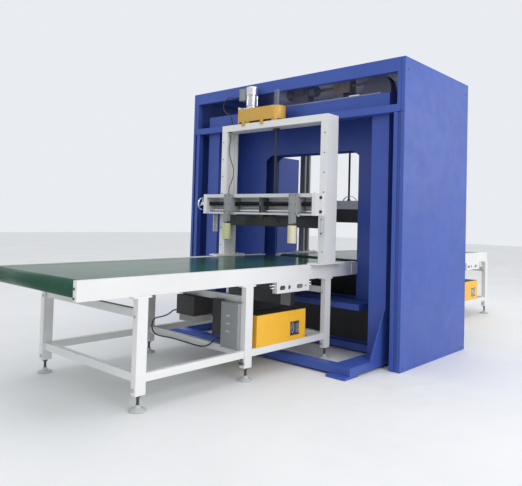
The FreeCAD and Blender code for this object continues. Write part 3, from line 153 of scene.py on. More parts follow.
JACKET = finish("cable jacket", (0.016, 0.016, 0.018), 0.42, light=1.4, wear=(0.04, 0.04, 0.04), fine=500.0)
PLASTIC = finish("black plastic", (0.02, 0.02, 0.022), 0.5, light=1.5, wear=(0.05, 0.05, 0.05))
CREAM = finish("cream plastic", (0.74, 0.68, 0.48), 0.42, wear=(0.5, 0.45, 0.3), specular=0.4, **EVEN)
CREAM_GREEN = finish("pale green plastic", (0.60, 0.62, 0.36), 0.42, wear=(0.4, 0.4, 0.3), **EVEN)
BELT = finish("belt cover", (0.036, 0.098, 0.066), 0.17, dark=0.8, light=1.12, broad=2.2, wear=(0.09, 0.12, 0.10),
              marks=0.12, bump=0.015, fine=500.0, specular=0.02, uneven=0.1)
FILM = finish("wound film", (0.62, 0.66, 0.70), 0.16, dark=0.9, light=1.05, wear=(0.5, 0.54, 0.58), broad=14.0,
              stretch=(8, 1, 1), coat=0.5)

PAINT = {
    "conveyor_belts": BELT, "conveyor_drums": STEEL, "belt_beds": BARE, "wrapping_ring": ALUMINIUM,
    "ring_rollers": PLASTIC, "film_unit": FILM, "drive_boxes": YELLOW, "infeed_drive_cover": OCHRE,
    "outfeed_gantry_posts": OUTFEED, "outfeed_gantry_beam": OUTFEED, "infeed_press_beam": BLACK,
    "outfeed_press_beam": BLACK, "outfeed_press_rail": ALUMINIUM, "ring_drive_unit": DRIVE,
    "guide_channel": ALUMINIUM, "guide_centre_bearing": DARK, "near_guide_carriage": PALE,
    "far_guide_carriage": PALE, "infeed_belt_drive": DARK, "conveyor_rails": WHITE, "conveyor_legs": WHITE,
    "leg_stretchers": WHITE, "drive_brackets": WHITE, "infeed_gantry_posts": WHITE, "infeed_gantry_beam": WHITE,
    "gantry_feet": WHITE,
}
SHARP = math.radians(32)
ROUNDED = 0.0015
JOINED = 0.00002


def soften(item, width):
    """Small rounded edges, as bent sheet and painted tube have."""
    bevel = item.modifiers.new("edges", "BEVEL")
    bevel.width = width
    bevel.segments = 2
    bevel.limit_method = "ANGLE"
    bevel.angle_limit = SHARP
    bevel.harden_normals = True


for name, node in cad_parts.items():
    node.data.materials.clear()
    node.data.materials.append(PAINT.get(name, BLUE))
    node.modifiers.new("joined", "WELD").merge_threshold = JOINED
    soften(node, ROUNDED)


# Pieces put together from simple solids

def across(along):
    """Unit vector along a line, and two at right angles to it."""
    axis = Vector(along).normalized()
    side = axis.orthogonal().normalized()
    return axis, side, axis.cross(side)


class Piece:
    """Mesh of boxes and turned solids, in the frame's metres."""

    def __init__(self):
        self.mesh = bmesh.new()

    def box(self, low, high):
        for vert in bmesh.ops.create_cube(self.mesh, size=1)["verts"]:
            vert.co = [low[i] + (vert.co[i] + 0.5) * (high[i] - low[i]) for i in range(3)]
        return self

    def loop(self, centre, side, other, radii, shift=0.0):
        """Points round a centre, one for each radius."""
        turns = [2 * math.pi * (i + shift) / len(radii) for i in range(len(radii))]
        return [self.mesh.verts.new(centre + (side * math.cos(turn) + other * math.sin(turn)) * radius)
                for turn, radius in zip(turns, radii)]

    def join(self, first, second):
        """Faces between two loops, or between a loop and a point."""
        count = max(len(first), len(second))
        for i in range(count):
            k = (i + 1) % count
            corners = [first[i % len(first)], first[k % len(first)], second[k % len(second)],
                       second[i % len(second)]]
            self.mesh.faces.new(list(dict.fromkeys(corners)))

    def turned(self, start, along, profile, sides=24):
        """Solid turned about a line; the profile holds pairs of distance and radius."""
        axis, side, other = across(along)
        shift = 0.5 if sides == 6 else 0.0
        loops = []
        for distance, radius in profile:
            centre = Vector(start) + axis * distance
            if radius:
                loops.append(self.loop(centre, side, other, [radius] * sides, shift))
            else:
                loops.append([self.mesh.verts.new(centre)])
        for first, second in zip(loops, loops[1:]):
            self.join(first, second)
        for end in (loops[0], loops[-1]):
            if len(end) > 1:
                self.mesh.faces.new(end)
        return self

    def finned(self, start, along, inner, outer, length, count=26):
        """Motor can with cooling fins along it."""
        axis, side, other = across(along)
        radii = [inner, outer, outer, inner] * count
        ends = [self.loop(Vector(start) + axis * distance, side, other, radii) for distance in (0, length)]
        self.join(*ends)
        for end in ends:
            self.mesh.faces.new(end)
        return self

    def hoop(self, centre, along, radius, thick, sides=56, round_sides=10):
        """Round bar bent to a ring."""
        axis, side, other = across(along)
        loops = []
        for i in range(sides):
            turn = 2 * math.pi * i / sides
            out = side * math.cos(turn) + other * math.sin(turn)
            loops.append(self.loop(Vector(centre) + out * radius, out, axis, [thick] * round_sides))
        for i, loop in enumerate(loops):
            self.join(loop, loops[(i + 1) % sides])
        return self

    def bolt(self, place, along, thread):
        """Hexagon head on a washer."""
        washer = 0.35 * thread
        self.turned(place, along, [(0, 2.1 * thread), (washer, 2.1 * thread)], 20)
        top = Vector(place) + Vector(along).normalized() * washer
        head = [(0, 1.8 * thread), (1.1 * thread, 1.8 * thread), (1.35 * thread, 1.5 * thread)]
        return self.turned(top, along, head, 6)

    def screw(self, place, along, thread):
        """Socket head."""
        head = [(0, 1.6), (1.4, 1.6), (1.6, 1.45), (1.6, 0.9), (0.5, 0.85)]
        return self.turned(place, along, [(thread * distance, thread * radius) for distance, radius in head], 16)

    def done(self, name, material, slot, body="machine", stands_for=(), rounded=0.0):
        """The piece as an object that rides on its body."""
        bmesh.ops.recalc_face_normals(self.mesh, faces=self.mesh.faces)
        mesh = bpy.data.meshes.new(name)
        self.mesh.to_mesh(mesh)
        self.mesh.free()
        mesh.shade_smooth()
        mesh.set_sharp_from_angle(angle=SHARP)
        mesh.materials.append(material)
        item = bpy.data.objects.new(name, mesh)
        bpy.context.scene.collection.objects.link(item)
        if rounded:
            soften(item, rounded)
        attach(item, body)
        if stands_for:
            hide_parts(*stands_for)


def threaded(length, radius, pitch, root=0.86):
    """Profile of a screw thread, its root a share of the radius."""
    turns = int(length / pitch)
    profile = []
    for i in range(turns):
        profile += [(i * length / turns, radius * root), ((i + 0.5) * length / turns, radius)]
    return profile + [(length, radius * root)]


def bar(length, radius):
    """Profile of a plain bar or nut."""
    return [(0, radius), (length, radius)]


BOTH = (-1, 1)
UP, DOWN = (0, 0, 1), (0, 0, -1)
INFEED = (-1, 0, 0)
NEAR, FAR = (0, -1, 0), (0, 1, 0)
SHEET = 0.0015


def middle_of(low, high, axis):
    """Middle of a box along one axis."""
    return (low[axis] + high[axis]) / 2


# Portal

def panel_screws():
    """Cap screws near the corners of the side panels."""
    low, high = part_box("side_panels")
    inset, above_floor, below_roof = 0.06, 0.03, 0.10
    head = [(0, 0.011), (0.003, 0.010), (0.0045, 0.006), (0.005, 0)]
    piece = Piece()
    for way, face in ((-1, low[1]), (1, high[1])):
        for x in (low[0] + inset, high[0] - inset):
            for z in (low[2] + above_floor, high[2] - below_roof):
                piece.turned((x, face, z), (0, way, 0), head, 18)
    piece.done("panel_screws", DARK, "dark_grey")


def ring_drive():
    """Fins, cowl and gear case laid round the ring's drive, and the bolts of its plate."""
    line, height = -0.335, 2.56
    start, length = -0.10, 0.20
    cowl = [(0, 0.064), (0.07, 0.064), (0.083, 0.055), (0.083, 0.0)]
    fins = Piece()
    fins.finned((line, start, height), FAR, inner=0.056, outer=0.062, length=length)
    fins.turned((line, start + length, height), FAR, cowl, 36)
    fins.box((line - 0.075, -0.06, height - 0.03), (line - 0.05, 0.05, height + 0.05))
    fins.done("ring_motor_fins", DRIVE, "dark_grey", rounded=0.001)

    half, bottom, top = 0.054, height - 0.074, height + 0.072
    near, far = -0.604, -0.416
    face = line - half
    gear = Piece().box((face, near, bottom), (line + half, far, top))
    for y in (near + 0.019, far - 0.019):
        for z in (bottom + 0.019, top - 0.019):
            gear.bolt((face, y, z), INFEED, 0.005)
    cap = [(0, 0.042), (0.006, 0.042), (0.008, 0.038), (0.008, 0)]
    gear.turned((face, (near + far) / 2, height), INFEED, cap, 32)
    gear.done("ring_gear_case", GEAR, "dark_grey", rounded=0.002)

    plate_top = 2.392
    bolts = Piece()
    for x in (-0.53, -0.40, -0.27):
        for y in (-1.03, -0.68, -0.28, 0.19):
            bolts.bolt((x, y, plate_top), UP, 0.006)
    bolts.done("ring_drive_bolts", BARE, "steel")


def portal_front():
    """Screws along the shelf, the black sheet below it and the one below the belts; both sheets are partly dark parts
    and partly painted shade.
    """
    low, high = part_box("front_shelf")
    plate_low, plate_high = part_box("ring_plates")
    rail_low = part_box("conveyor_rails")[0][2]
    front, rear = plate_low[0], plate_high[0]
    # Black sheet below the shelf: partly a dark lower panel, partly painted shade for the shaded space there.
    below = Piece().box((front - SHEET, low[1], plate_low[2] + 0.012), (front, high[1], low[2] - 0.004))
    below.done("shelf_painted_shade_sheet", BLACK, "black_paint")

    half = 0.66
    # Black sheet across the rear window below the belts: partly the dark parts behind it, partly painted shade.
    across_window = Piece().box((rear, -half, low[2] + 0.03), (rear + SHEET, half, rail_low - 0.002))
    across_window.done("under_belt_painted_shade_sheet", BLACK, "black_paint")

    count, inset = 7, 0.06
    step = (high[1] - low[1] - 2 * inset) / (count - 1)
    screws = Piece()
    for i in range(count):
        screws.screw((low[0], low[1] + inset + i * step, high[2] - 0.02), INFEED, 0.004)
    screws.done("shelf_screws", DARK, "dark_grey")


def portal_seams():
    """Joint lines between the posts and the head frames, front and rear."""
    low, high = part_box("head_frames")
    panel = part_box("side_panels")[1][1]
    reach, half_line, half_edge, depth = 0.099, 0.0015, 0.0012, 0.0008
    piece = Piece()
    for face, way in ((low[0], -1), (high[0], 1)):
        x_low, x_high = sorted((face, face + way * depth))
        for side in BOTH:
            y_low, y_high = sorted((side * (high[1] - reach), side * panel))
            piece.box((x_low, y_low, low[2] - half_line), (x_high, y_high, low[2] + half_line))
            edge = side * high[1]
            piece.box((x_low, edge - half_edge, 0.1), (x_high, edge + half_edge, high[2] - 0.01))
    piece.done("portal_seams", SEAM, "blue_paint")


# Conveyors

LEGS = (-2.74, -1.745, -0.71, 0.71, 1.92, 3.13)
LEG_LINE = 0.61
LEG_HALF = 0.04


def feet():
    """Levelling feet: flat disc, threaded stem and lock nut."""
    stem_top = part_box("levelling_feet")[1][2]
    stem_low, nut_height = 0.038, 0.014
    disc = [(0, 0.052), (0.004, 0.0565), (0.010, 0.0565), (0.014, 0.051), (0.019, 0.028), (0.026, 0.019),
            (0.040, 0.016)]
    nut = [(0, 0.016), (0.002, 0.0185), (0.012, 0.0185), (nut_height, 0.016)]
    stems, discs = Piece(), Piece()
    for x in LEGS:
        for side in BOTH:
            y = side * LEG_LINE
            discs.turned((x, y, 0), UP, disc, 32)
            stems.turned((x, y, stem_low), UP, threaded(stem_top - stem_low, 0.0105, 0.0025), 14)
            stems.turned((x, y, stem_top - nut_height), UP, nut, 6)
    discs.done("feet_discs", DISC, "white_paint", stands_for=["levelling_feet"])
    stems.done("feet_stems", DARK, "steel")


def leg_bolts():
    """Bolts at the leg flanges, the stretchers and the feet, and the clamps of the second legs."""
    low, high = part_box("conveyor_rails")
    flange_sheet, flange_step = 0.008, 0.053
    foot_bolt, stretcher_bolt, bolt_inset = 0.135, 0.60, 0.006
    bolts = Piece()
    for x in LEGS:
        for side in BOTH:
            for step in (-flange_step, flange_step):
                if x + step < high[0] - 0.01:
                    bolts.bolt((x + step, side * LEG_LINE, low[2] - flange_sheet), DOWN, 0.0055)
            for z, thread in ((foot_bolt, 0.006), (stretcher_bolt, 0.0045)):
                bolts.bolt((x - LEG_HALF, side * (LEG_LINE - bolt_inset), z), INFEED, thread)
    bolts.done("leg_bolts", BARE, "steel")

    face = LEGS[1] - LEG_HALF
    reach, half, bottom, top = 0.022, 0.018, 0.128, 0.146
    clamps = Piece()
    for side in BOTH:
        y = side * LEG_LINE
        clamps.box((face - reach, y - half, bottom), (face, y + half, top))
        clamps.turned((face - reach / 2, y, top), UP, threaded(0.030, 0.005, 0.002), 12)
        clamps.turned((face - reach / 2, y, top + 0.014), UP, bar(0.008, 0.0095), 6)
    clamps.done("leg_clamps", DARK, "steel", rounded=0.001)


def rail_ends():
    """Tension screws in the ends of the rails."""
    low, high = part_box("conveyor_rails")
    line, heights = 0.586, (0.807, 0.749)
    piece = Piece()
    for end, way in ((low[0], -1), (high[0], 1)):
        for side in BOTH:
            for z in heights:
                piece.bolt((end, side * line, z), (way, 0, 0), 0.0042)
    piece.done("belt_tension_screws", DARK, "dark_grey")


def bracket_screws():
    """Long tension screws at both ends of each drive bracket."""
    low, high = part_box("drive_brackets")
    length, line = 0.435, -0.588
    piece = Piece()
    for start in (low[0], high[0] - length):
        for x, way in ((start, -1), (start + length, 1)):
            for z in (high[2] - 0.028, high[2] - 0.050):
                along = (way, 0, 0)
                piece.turned((x - way * 0.004, line, z), along, threaded(0.062, 0.005, 0.002), 12)
                piece.turned((x + way * 0.008, line, z), along, bar(0.008, 0.0085), 6)
                piece.bolt((x + way * 0.050, line, z), along, 0.0045)
    piece.done("bracket_screws", CHROME, "steel")


def box_fans():
    """Fan guards, black sheets on the tops and screws of the two yellow drive boxes."""
    low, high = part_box("drive_boxes")
    face, length = low[1], 0.62
    half, reach, height = 0.058, 0.048, 0.335
    plate, wires = face - 0.003, face - 0.006
    spoke, spoke_length = 0.053, 0.106
    infeed_fan, outfeed_fan = -1.18, high[0] - 0.15
    guard, guard_screws = Piece(), Piece()
    for x in (infeed_fan, outfeed_fan):
        guard.box((x - half, plate, height - half), (x + half, face, height + half))
        for radius in (0.018, 0.030, 0.042, 0.052):
            guard.hoop((x, wires, height), FAR, radius, 0.0017, 40, 6)
        for turn in (math.radians(45), math.radians(135)):
            dx, dz = math.cos(turn) * spoke, math.sin(turn) * spoke
            guard.turned((x - dx, wires, height - dz), (dx, 0, dz), bar(spoke_length, 0.0016), 8)
        guard.turned((x, plate, height), NEAR, [(0, 0.015), (0.005, 0.013), (0.005, 0)], 24)
        for dx in (-reach, reach):
            for dz in (-reach, reach):
                guard_screws.screw((x + dx, plate, height + dz), NEAR, 0.004)
    guard.done("box_fan_guards", STEEL, "steel")
    guard_screws.done("box_fan_screws", BLACK, "black_paint")

    inset, edge = 0.02, 0.004
    head = [(0, 0.006), (0.002, 0.0055), (0.003, 0.003), (0.003, 0)]
    screws, dark_tops = Piece(), Piece()
    for start, end in ((low[0], low[0] + length), (high[0] - length, high[0])):
        # Thin black sheet on each box's top, which makes the top dark.
        dark_tops.box((start + edge, low[1] + edge, high[2]), (end - edge, high[1] - edge, high[2] + SHEET))
        for x in (start + inset, end - inset):
            for z in (low[2] + inset, high[2] - inset):
                screws.turned((x, face, z), NEAR, head, 16)
    screws.done("box_screws", BARE, "steel")
    dark_tops.done("box_dark_tops", BLACK, "black_paint")


def belt_motor():
    """Belt motor with ribs on its case, on a pale gear base."""
    start, end, near, far, bottom, top = -1.84, -1.48, -0.10, 0.12, 0.43, 0.59
    case_end = end - 0.11
    middle = ((near + far) / 2, (bottom + top) / 2)
    motor = Piece().box((start, near, bottom), (case_end, far, top))
    motor.turned((case_end, *middle), (1, 0, 0), [(0, 0.079), (0.075, 0.079), (0.095, 0.070), (0.11, 0.05)], 40)
    for i in range(9):
        y = near + 0.012 + i * 0.0245
        motor.box((start + 0.01, y - 0.003, top - 0.001), (case_end - 0.01, y + 0.003, top))
    for i in range(7):
        z = bottom + 0.015 + i * 0.021
        motor.box((start + 0.01, near - 0.004, z - 0.004), (case_end - 0.01, near, z + 0.004))
    motor.done("belt_motor", BLACK, "dark_grey", stands_for=["infeed_belt_drive"], rounded=0.002)

    base_low = bottom - 0.05
    base = Piece().box((start, near, base_low), (start + 0.20, far - 0.04, bottom))
    base.box((start - 0.001, near + 0.02, base_low + 0.012), (start, far - 0.06, base_low + 0.038))
    base.turned((start + 0.04, far, bottom + 0.02), FAR, bar(0.01, 0.012), 6)
    base.done("belt_gear_base", PALE, "dark_grey", rounded=0.003)


def terminal_box():
    """Grey box on the second leg, with its label strips and screws, and the black plate of painted shade beside it.
    """
    face, back, near, far, bottom, top = -1.82, -1.725, -0.585, -0.40, 0.235, 0.59
    terminal = Piece().box((face, near, bottom), (back, far, top))
    terminal.turned((face + 0.02, far, bottom + 0.055), FAR, bar(0.01, 0.012), 6)
    terminal.done("belt_terminal_box", GREY, "dark_grey", rounded=0.002)

    # Black plate beside the box: painted shade.
    plate_face, reach = face + 0.03, 0.13
    plate = Piece().box((plate_face, far, 0.31), (plate_face + SHEET, far + reach, 0.60))
    plate.done("terminal_painted_shade_plate", BLACK, "black_paint")

    head = [(0, 0.005), (0.002, 0.005), (0.003, 0.003), (0.003, 0)]
    marks = Piece()
    for z in (0.36, 0.42, 0.48):
        marks.box((face - 0.0012, -0.50, z), (face, -0.46, z + 0.012))
    for y in (near + 0.013, far - 0.013):
        for z in (bottom + 0.015, top - 0.015):
            marks.turned((face, y, z), INFEED, head, 14)
    marks.done("terminal_marks", BARE, "steel")


def under_belt_shade_and_strip():
    """Black plate of painted shade across the frame below the belt, in front of the ring, with a grey strip."""
    face = LEGS[2] - LEG_HALF
    bottom, top = 0.43, 0.728
    # Black plate: painted shade below the belt.
    plate = Piece().box((face - SHEET, -0.28, bottom), (face, 0.60, top))
    plate.done("under_belt_painted_shade_plate", BLACK, "black_paint")
    strip = Piece().box((face - SHEET - 0.002, -0.235, bottom), (face - SHEET, -0.115, top))
    strip.done("under_belt_grey_strip", GREY, "dark_grey")


# Gantries, lift drive and presses

def gantry_screws():
    """Rows of screws up the front of the posts, and bolts in the foot plates."""
    foot_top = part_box("gantry_feet")[1][2]
    count, first, step, inset = 7, 0.965, 0.178, 0.026
    rows, feet_bolts = Piece(), Piece()
    for posts, foot_places in (("infeed_gantry_posts", (-0.93, -0.57)), ("outfeed_gantry_posts", (0.41, 0.715))):
        low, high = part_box(posts)
        for side in BOTH:
            for i in range(count):
                rows.screw((low[0], side * (high[1] - inset), first + step * i), INFEED, 0.0032)
            for x in foot_places:
                for y in (0.600, 0.665):
                    feet_bolts.bolt((x, side * y, foot_top), UP, 0.005)
    rows.done("gantry_post_screws", DARK, "dark_grey")
    feet_bolts.done("gantry_foot_bolts", BARE, "steel")


def lift_motor():
    """Geared motor on the chain cover, with its terminal box."""
    x, y, z = -0.75, 0.34, 2.355
    flange, flange_half = z + 0.014, 0.065
    can = Piece().box((x - flange_half, y - flange_half, z), (x + flange_half, y + flange_half, flange))
    can.turned((x, y, flange), UP, [(0, 0.056), (0.02, 0.054), (0.026, 0.048)], 36)
    can.finned((x, y, z + 0.040), UP, 0.050, 0.0575, 0.105, 24)
    cowl = [(0, 0.060), (0.004, 0.0635), (0.078, 0.0635), (0.088, 0.056), (0.090, 0.040), (0.087, 0.038),
            (0.087, 0.014), (0.090, 0.012), (0.090, 0)]
    can.turned((x, y, z + 0.145), UP, cowl, 40)
    can.done("lift_motor_can", CAST, "dark_grey", stands_for=["infeed_gear_motor"])

    half, near, far, bottom, top, rim = 0.055, y + 0.046, y + 0.122, 2.455, 2.575, 0.004
    case = Piece().box((x - half, near, bottom), (x + half, far, top))
    case.box((x - half - rim, far, bottom - rim), (x + half + rim, far + rim, top + rim))
    case.done("lift_terminal_box", GREY, "dark_grey", rounded=0.003)

    bolts = Piece()
    for dx in BOTH:
        for dy in BOTH:
            bolts.bolt((x + dx * 0.052, y + dy * 0.052, flange), UP, 0.0042)
    for dx in BOTH:
        for lid_z in (bottom + 0.012, top - 0.012):
            bolts.screw((x + dx * 0.047, far + rim, lid_z), FAR, 0.0025)
    bolts.done("lift_motor_bolts", BARE, "steel")


def cover_trim():
    """Tabs, screws and end plate of the chain cover."""
    low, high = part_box("infeed_drive_cover")
    beam_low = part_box("infeed_gantry_beam")[0]
    face, tab_sheet, tab_half, edge = low[0], 0.003, 0.022, 0.005
    tabs, screws = Piece(), Piece()
    for y in (0.12, 0.37):
        tabs.box((face - tab_sheet, y - tab_half, beam_low[2] + 0.062), (face, y + tab_half, low[2] + 0.03))
        screws.screw((face - tab_sheet, y, low[2] + 0.003), INFEED, 0.004)
    tabs.done("cover_tabs", OCHRE, "yellow_paint", rounded=0.001)
    for y in (-0.02, 0.18, 0.40):
        screws.turned((face, y, high[2] - 0.02), INFEED, [(0, 0.006), (0.002, 0.0055), (0.003, 0)], 16)
    screws.done("cover_screws", BARE, "steel")
    plate = Piece().box((face + edge, high[1], low[2] + 0.004), (high[0] - edge, high[1] + 0.004, high[2] + 0.028))
    plate.done("cover_end_plate", WHITE, "white_paint", rounded=0.001)


def rod_tube():
    """Capped tube over the rising rod."""
    low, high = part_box("infeed_rod_tube")
    height = high[2] - low[2]
    radius, cap_radius, cap = 0.030, 0.031, height - 0.02
    profile = [(0, radius), (cap, radius), (cap, cap_radius), (height - 0.003, cap_radius), (height, 0.027),
               (height, 0)]
    piece = Piece().turned((middle_of(low, high, 0), 0.0, low[2]), UP, profile, 36)
    piece.done("rod_tube", TUBE, "aluminium", stands_for=["infeed_rod_tube"])


def rod_sleeve():
    """Dark sleeve of the bush below the infeed beam."""
    low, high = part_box("infeed_gantry_beam")
    bore, radius = 0.0135, 0.034
    profile = [(0, bore), (0, radius), (0.020, radius), (0.026, 0.031), (0.026, bore)]
    piece = Piece().turned((middle_of(low, high, 0), 0, low[2] - 0.002), UP, profile, 28)
    piece.done("rod_bush_sleeve", BLACK, "black_paint")


def press_rods():
    """Round rods that lift the presses, each with a nut at its foot."""
    for press, slot in (("infeed", "steel"), ("outfeed", "black_paint")):
        node = press + "_press_rod"
        low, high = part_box(node)
        place = (middle_of(low, high, 0), middle_of(low, high, 1), low[2])
        length = high[2] - low[2]
        piece = Piece().turned(place, UP, [(0, 0.012), (length - 0.002, 0.012), (length, 0.010)], 28)
        piece.turned(place, UP, [(0, 0.020), (0.016, 0.020), (0.018, 0.017), (0.018, 0.012)], 6)
        piece.done(press + "_lift_rod", BLACK, slot, body=press + "_press", stands_for=[node])


def press_screws():
    """Screws along the press beams."""
    count, first, step = 6, -0.5, 0.2
    for node, body in (("infeed_press_beam", "infeed_press"), ("outfeed_press_rail", "outfeed_press")):
        low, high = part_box(node)
        height = (low[2] + min(high[2], low[2] + 0.1)) / 2
        piece = Piece()
        for i in range(count):
            piece.screw((low[0], first + i * step, height), INFEED, 0.0035)
        piece.done(body + "_screws", BLACK, "black_paint", body=body)


# Side guide

GUIDE_LOW, GUIDE_TOP = 1.285, 1.483
GUIDE_BACK = -0.845
GUIDE_CEILING = 1.449
GUIDE_BLOCK = 0.040
SCREW_HEIGHT, ROD_HEIGHT = 1.387, 1.323


def guide_details():
    """Threaded screw, plain rod, lining and end covers of the guide channel, and their screws; the lining's pale
    paint is painted light in the shaded channel.
    """
    low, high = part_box("guide_bars")
    x, length = middle_of(low, high, 0), high[1] - low[1]
    screw = Piece().turned((x, low[1], SCREW_HEIGHT), FAR, threaded(length, 0.0185, 0.006, 0.93), 20)
    screw.done("guide_screw", SCREW, "steel", stands_for=["guide_bars"])
    rod = Piece().turned((x, low[1], ROD_HEIGHT), FAR, bar(length, 0.0095), 24)
    rod.done("guide_rod", CHROME, "steel")

    low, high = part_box("guide_channel")
    front, near, far = low[0], low[1], high[1]
    cover = 0.001
    bolts = Piece()
    for z in (1.447, 1.321):
        bolts.screw((x + 0.005, near - cover, z), NEAR, 0.0085)
        bolts.screw((x + 0.005, far + cover, z), FAR, 0.0085)
    for y in (-0.61, -0.2, 0.2, 0.74):
        bolts.screw((front + 0.05, y, GUIDE_TOP), UP, 0.004)
    bolts.turned((front + 0.05, 0.0, GUIDE_TOP), UP, [(0, 0.013), (0.006, 0.013), (0.006, 0.008), (0.024, 0.008)], 6)
    catch_low = 1.262
    bolts.box((front + 0.02, -0.03, catch_low), (front + 0.075, 0.03, GUIDE_LOW))
    bolts.turned((front + 0.048, 0.0, catch_low), DOWN, [(0, 0.011), (0.02, 0.011), (0.026, 0.006)], 12)
    for z, thread in ((1.13, 0.0045), (1.255, 0.0035)):
        bolts.screw((front + 0.085, near, z), NEAR, thread)
    bolts.done("guide_screws", BLACK, "black_paint")

    groove, ceiling = 0.002, GUIDE_CEILING - SHEET
    # Dark grooves along the back, and a painted shadow line under the top lip.
    groove_lines_and_shadow = Piece()
    for z in (1.345, 1.362, 1.412, 1.430):
        groove_lines_and_shadow.box((GUIDE_BACK - 2 * SHEET, near + 0.045, z - groove), (GUIDE_BACK - SHEET, far - 0.045, z + groove))
    # Black strip under the front of the ceiling: painted shadow below the top lip.
    groove_lines_and_shadow.box((front + 0.010, near + 0.042, ceiling - groove), (front + 0.022, far - 0.042, ceiling))
    groove_lines_and_shadow.done("guide_channel_groove_lines_and_shadow_line", BLACK, "black_paint")

    # Pale sheet over the back and ceiling inside the channel: painted light.
    lining = Piece()
    lining.box((GUIDE_BACK - SHEET, near + GUIDE_BLOCK, 1.303), (GUIDE_BACK, far - GUIDE_BLOCK, ceiling))
    lining.box((front + 0.010, near + GUIDE_BLOCK, ceiling), (GUIDE_BACK, far - GUIDE_BLOCK, GUIDE_CEILING))
    lining.done("guide_channel_lit_lining", LIT_LINING, "aluminium")

    covers = Piece()
    for y in (near, far - GUIDE_BLOCK):
        covers.box((front - cover, y - cover, GUIDE_LOW - 0.0005),
                   (-0.836, y + GUIDE_BLOCK + cover, GUIDE_TOP + 0.0005))
    covers.done("guide_end_covers", WHITE, "white_paint", rounded=0.0012)

    collars = Piece()
    for y in (near + 0.040, -0.475, -0.365, 0.365, 0.475, far - 0.050):
        collars.turned((x, y, SCREW_HEIGHT), FAR, bar(0.010, 0.021), 24)
    bearing_face, strip_face = -0.957, -0.9585
    for half, bottom, top in ((0.004, 1.405, 1.449), (0.009, 1.303, 1.370)):
        collars.box((strip_face, -half, bottom), (bearing_face, half, top))
    collars.done("guide_screw_collars", SCREW, "steel")


def guide_rollers():
    """Rollers with their caps, and the screws of the carriages that they ride with, and grey sheets of painted shade
    on the carriages' sides.
    """
    radius, edge, chamfer = 0.0405, 0.035, 0.003
    for side, material in (("near", CREAM), ("far", CREAM_GREEN)):
        node, body = side + "_guide_roller", side + "_guide"
        low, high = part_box(node)
        x, y = middle_of(low, high, 0), middle_of(low, high, 1)
        height = high[2] - low[2]
        profile = [(0, edge), (chamfer, radius), (height - chamfer, radius), (height, edge), (height, 0.0)]
        roller = Piece().turned((x, y, low[2]), UP, profile, 40)
        roller.done(side + "_roller", material, "cream_plastic", body=body, stands_for=[node])

        caps = Piece()
        caps.turned((x, y, low[2]), DOWN, [(0, 0.016), (0.005, 0.016), (0.007, 0.012), (0.007, 0)], 6)
        caps.turned((x, y, high[2]), UP, [(0, 0.030), (0.006, 0.030), (0.008, 0.026), (0.008, 0)], 32)
        caps.box((x - 0.024, y - 0.030, high[2] + 0.012), (x + 0.024, y + 0.030, high[2] + 0.022))
        caps.done(side + "_roller_caps", DARK, "dark_grey", body=body)

        plate_low, plate_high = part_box(side + "_guide_carriage")
        screws = Piece()
        for dy in (-0.034, 0.034):
            for z in (plate_high[2] - 0.018, plate_high[2] - 0.10, 1.305):
                screws.screw((-0.985, y + dy, z), INFEED, 0.003)
        screws.done(side + "_carriage_screws", DARK, "dark_grey", body=body)

        # Grey sheets on both sides of the carriage's block: painted shade inside the channel.
        shade_sheets = Piece()
        for y_low, y_high in ((plate_low[1] - SHEET, plate_low[1]), (plate_high[1], plate_high[1] + SHEET)):
            shade_sheets.box((-0.963, y_low, 1.309), (-0.852, y_high, 1.443))
        shade_sheets.done(side + "_carriage_painted_shade_sheets", GREY, "dark_grey", body=body)


def handwheel():
    """Spoked handwheel with a turning knob."""
    low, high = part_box("guide_handwheel")
    x, z = middle_of(low, high, 0), middle_of(low, high, 2)
    plane, length = high[1] - 0.015, high[1] - low[1]
    wheel = Piece().hoop((x, plane, z), FAR, 0.0615, 0.0078)
    wheel.turned((x, low[1], z), FAR, [(0, 0.017), (length - 0.004, 0.017), (length, 0.013), (length, 0)], 32)
    for turn in (math.radians(90), math.radians(210), math.radians(330)):
        wheel.turned((x, plane, z), (math.cos(turn), 0, math.sin(turn)), [(0, 0.0065), (0.058, 0.005)], 12)
    wheel.done("handwheel", CHROME, "steel", stands_for=["guide_handwheel"])
    grip = [(0, 0.004), (0.010, 0.004), (0.010, 0.007), (0.022, 0.008), (0.026, 0.005), (0.026, 0)]
    knob = Piece().turned((x - 0.053, plane - 0.004, z - 0.031), FAR, grip, 16)
    knob.done("handwheel_knob", PLASTIC, "black_paint")


# Cables

def cable(name, node, diameter, points):
    """Black cable along the points at which it bends."""
    curve = bpy.data.curves.new(name, "CURVE")
    curve.dimensions = "3D"
    curve.bevel_depth = diameter / 2
    curve.bevel_resolution = 4
    curve.resolution_u = 12
    line = curve.splines.new("NURBS")
    line.points.add(len(points) - 1)
    for point, place in zip(line.points, points):
        point.co = (*place, 1)
    line.order_u = 3
    line.use_endpoint_u = True
    curve.materials.append(JACKET)
    item = bpy.data.objects.new(name, curve)
    bpy.context.scene.collection.objects.link(item)
    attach(item, "machine")
    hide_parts(node)


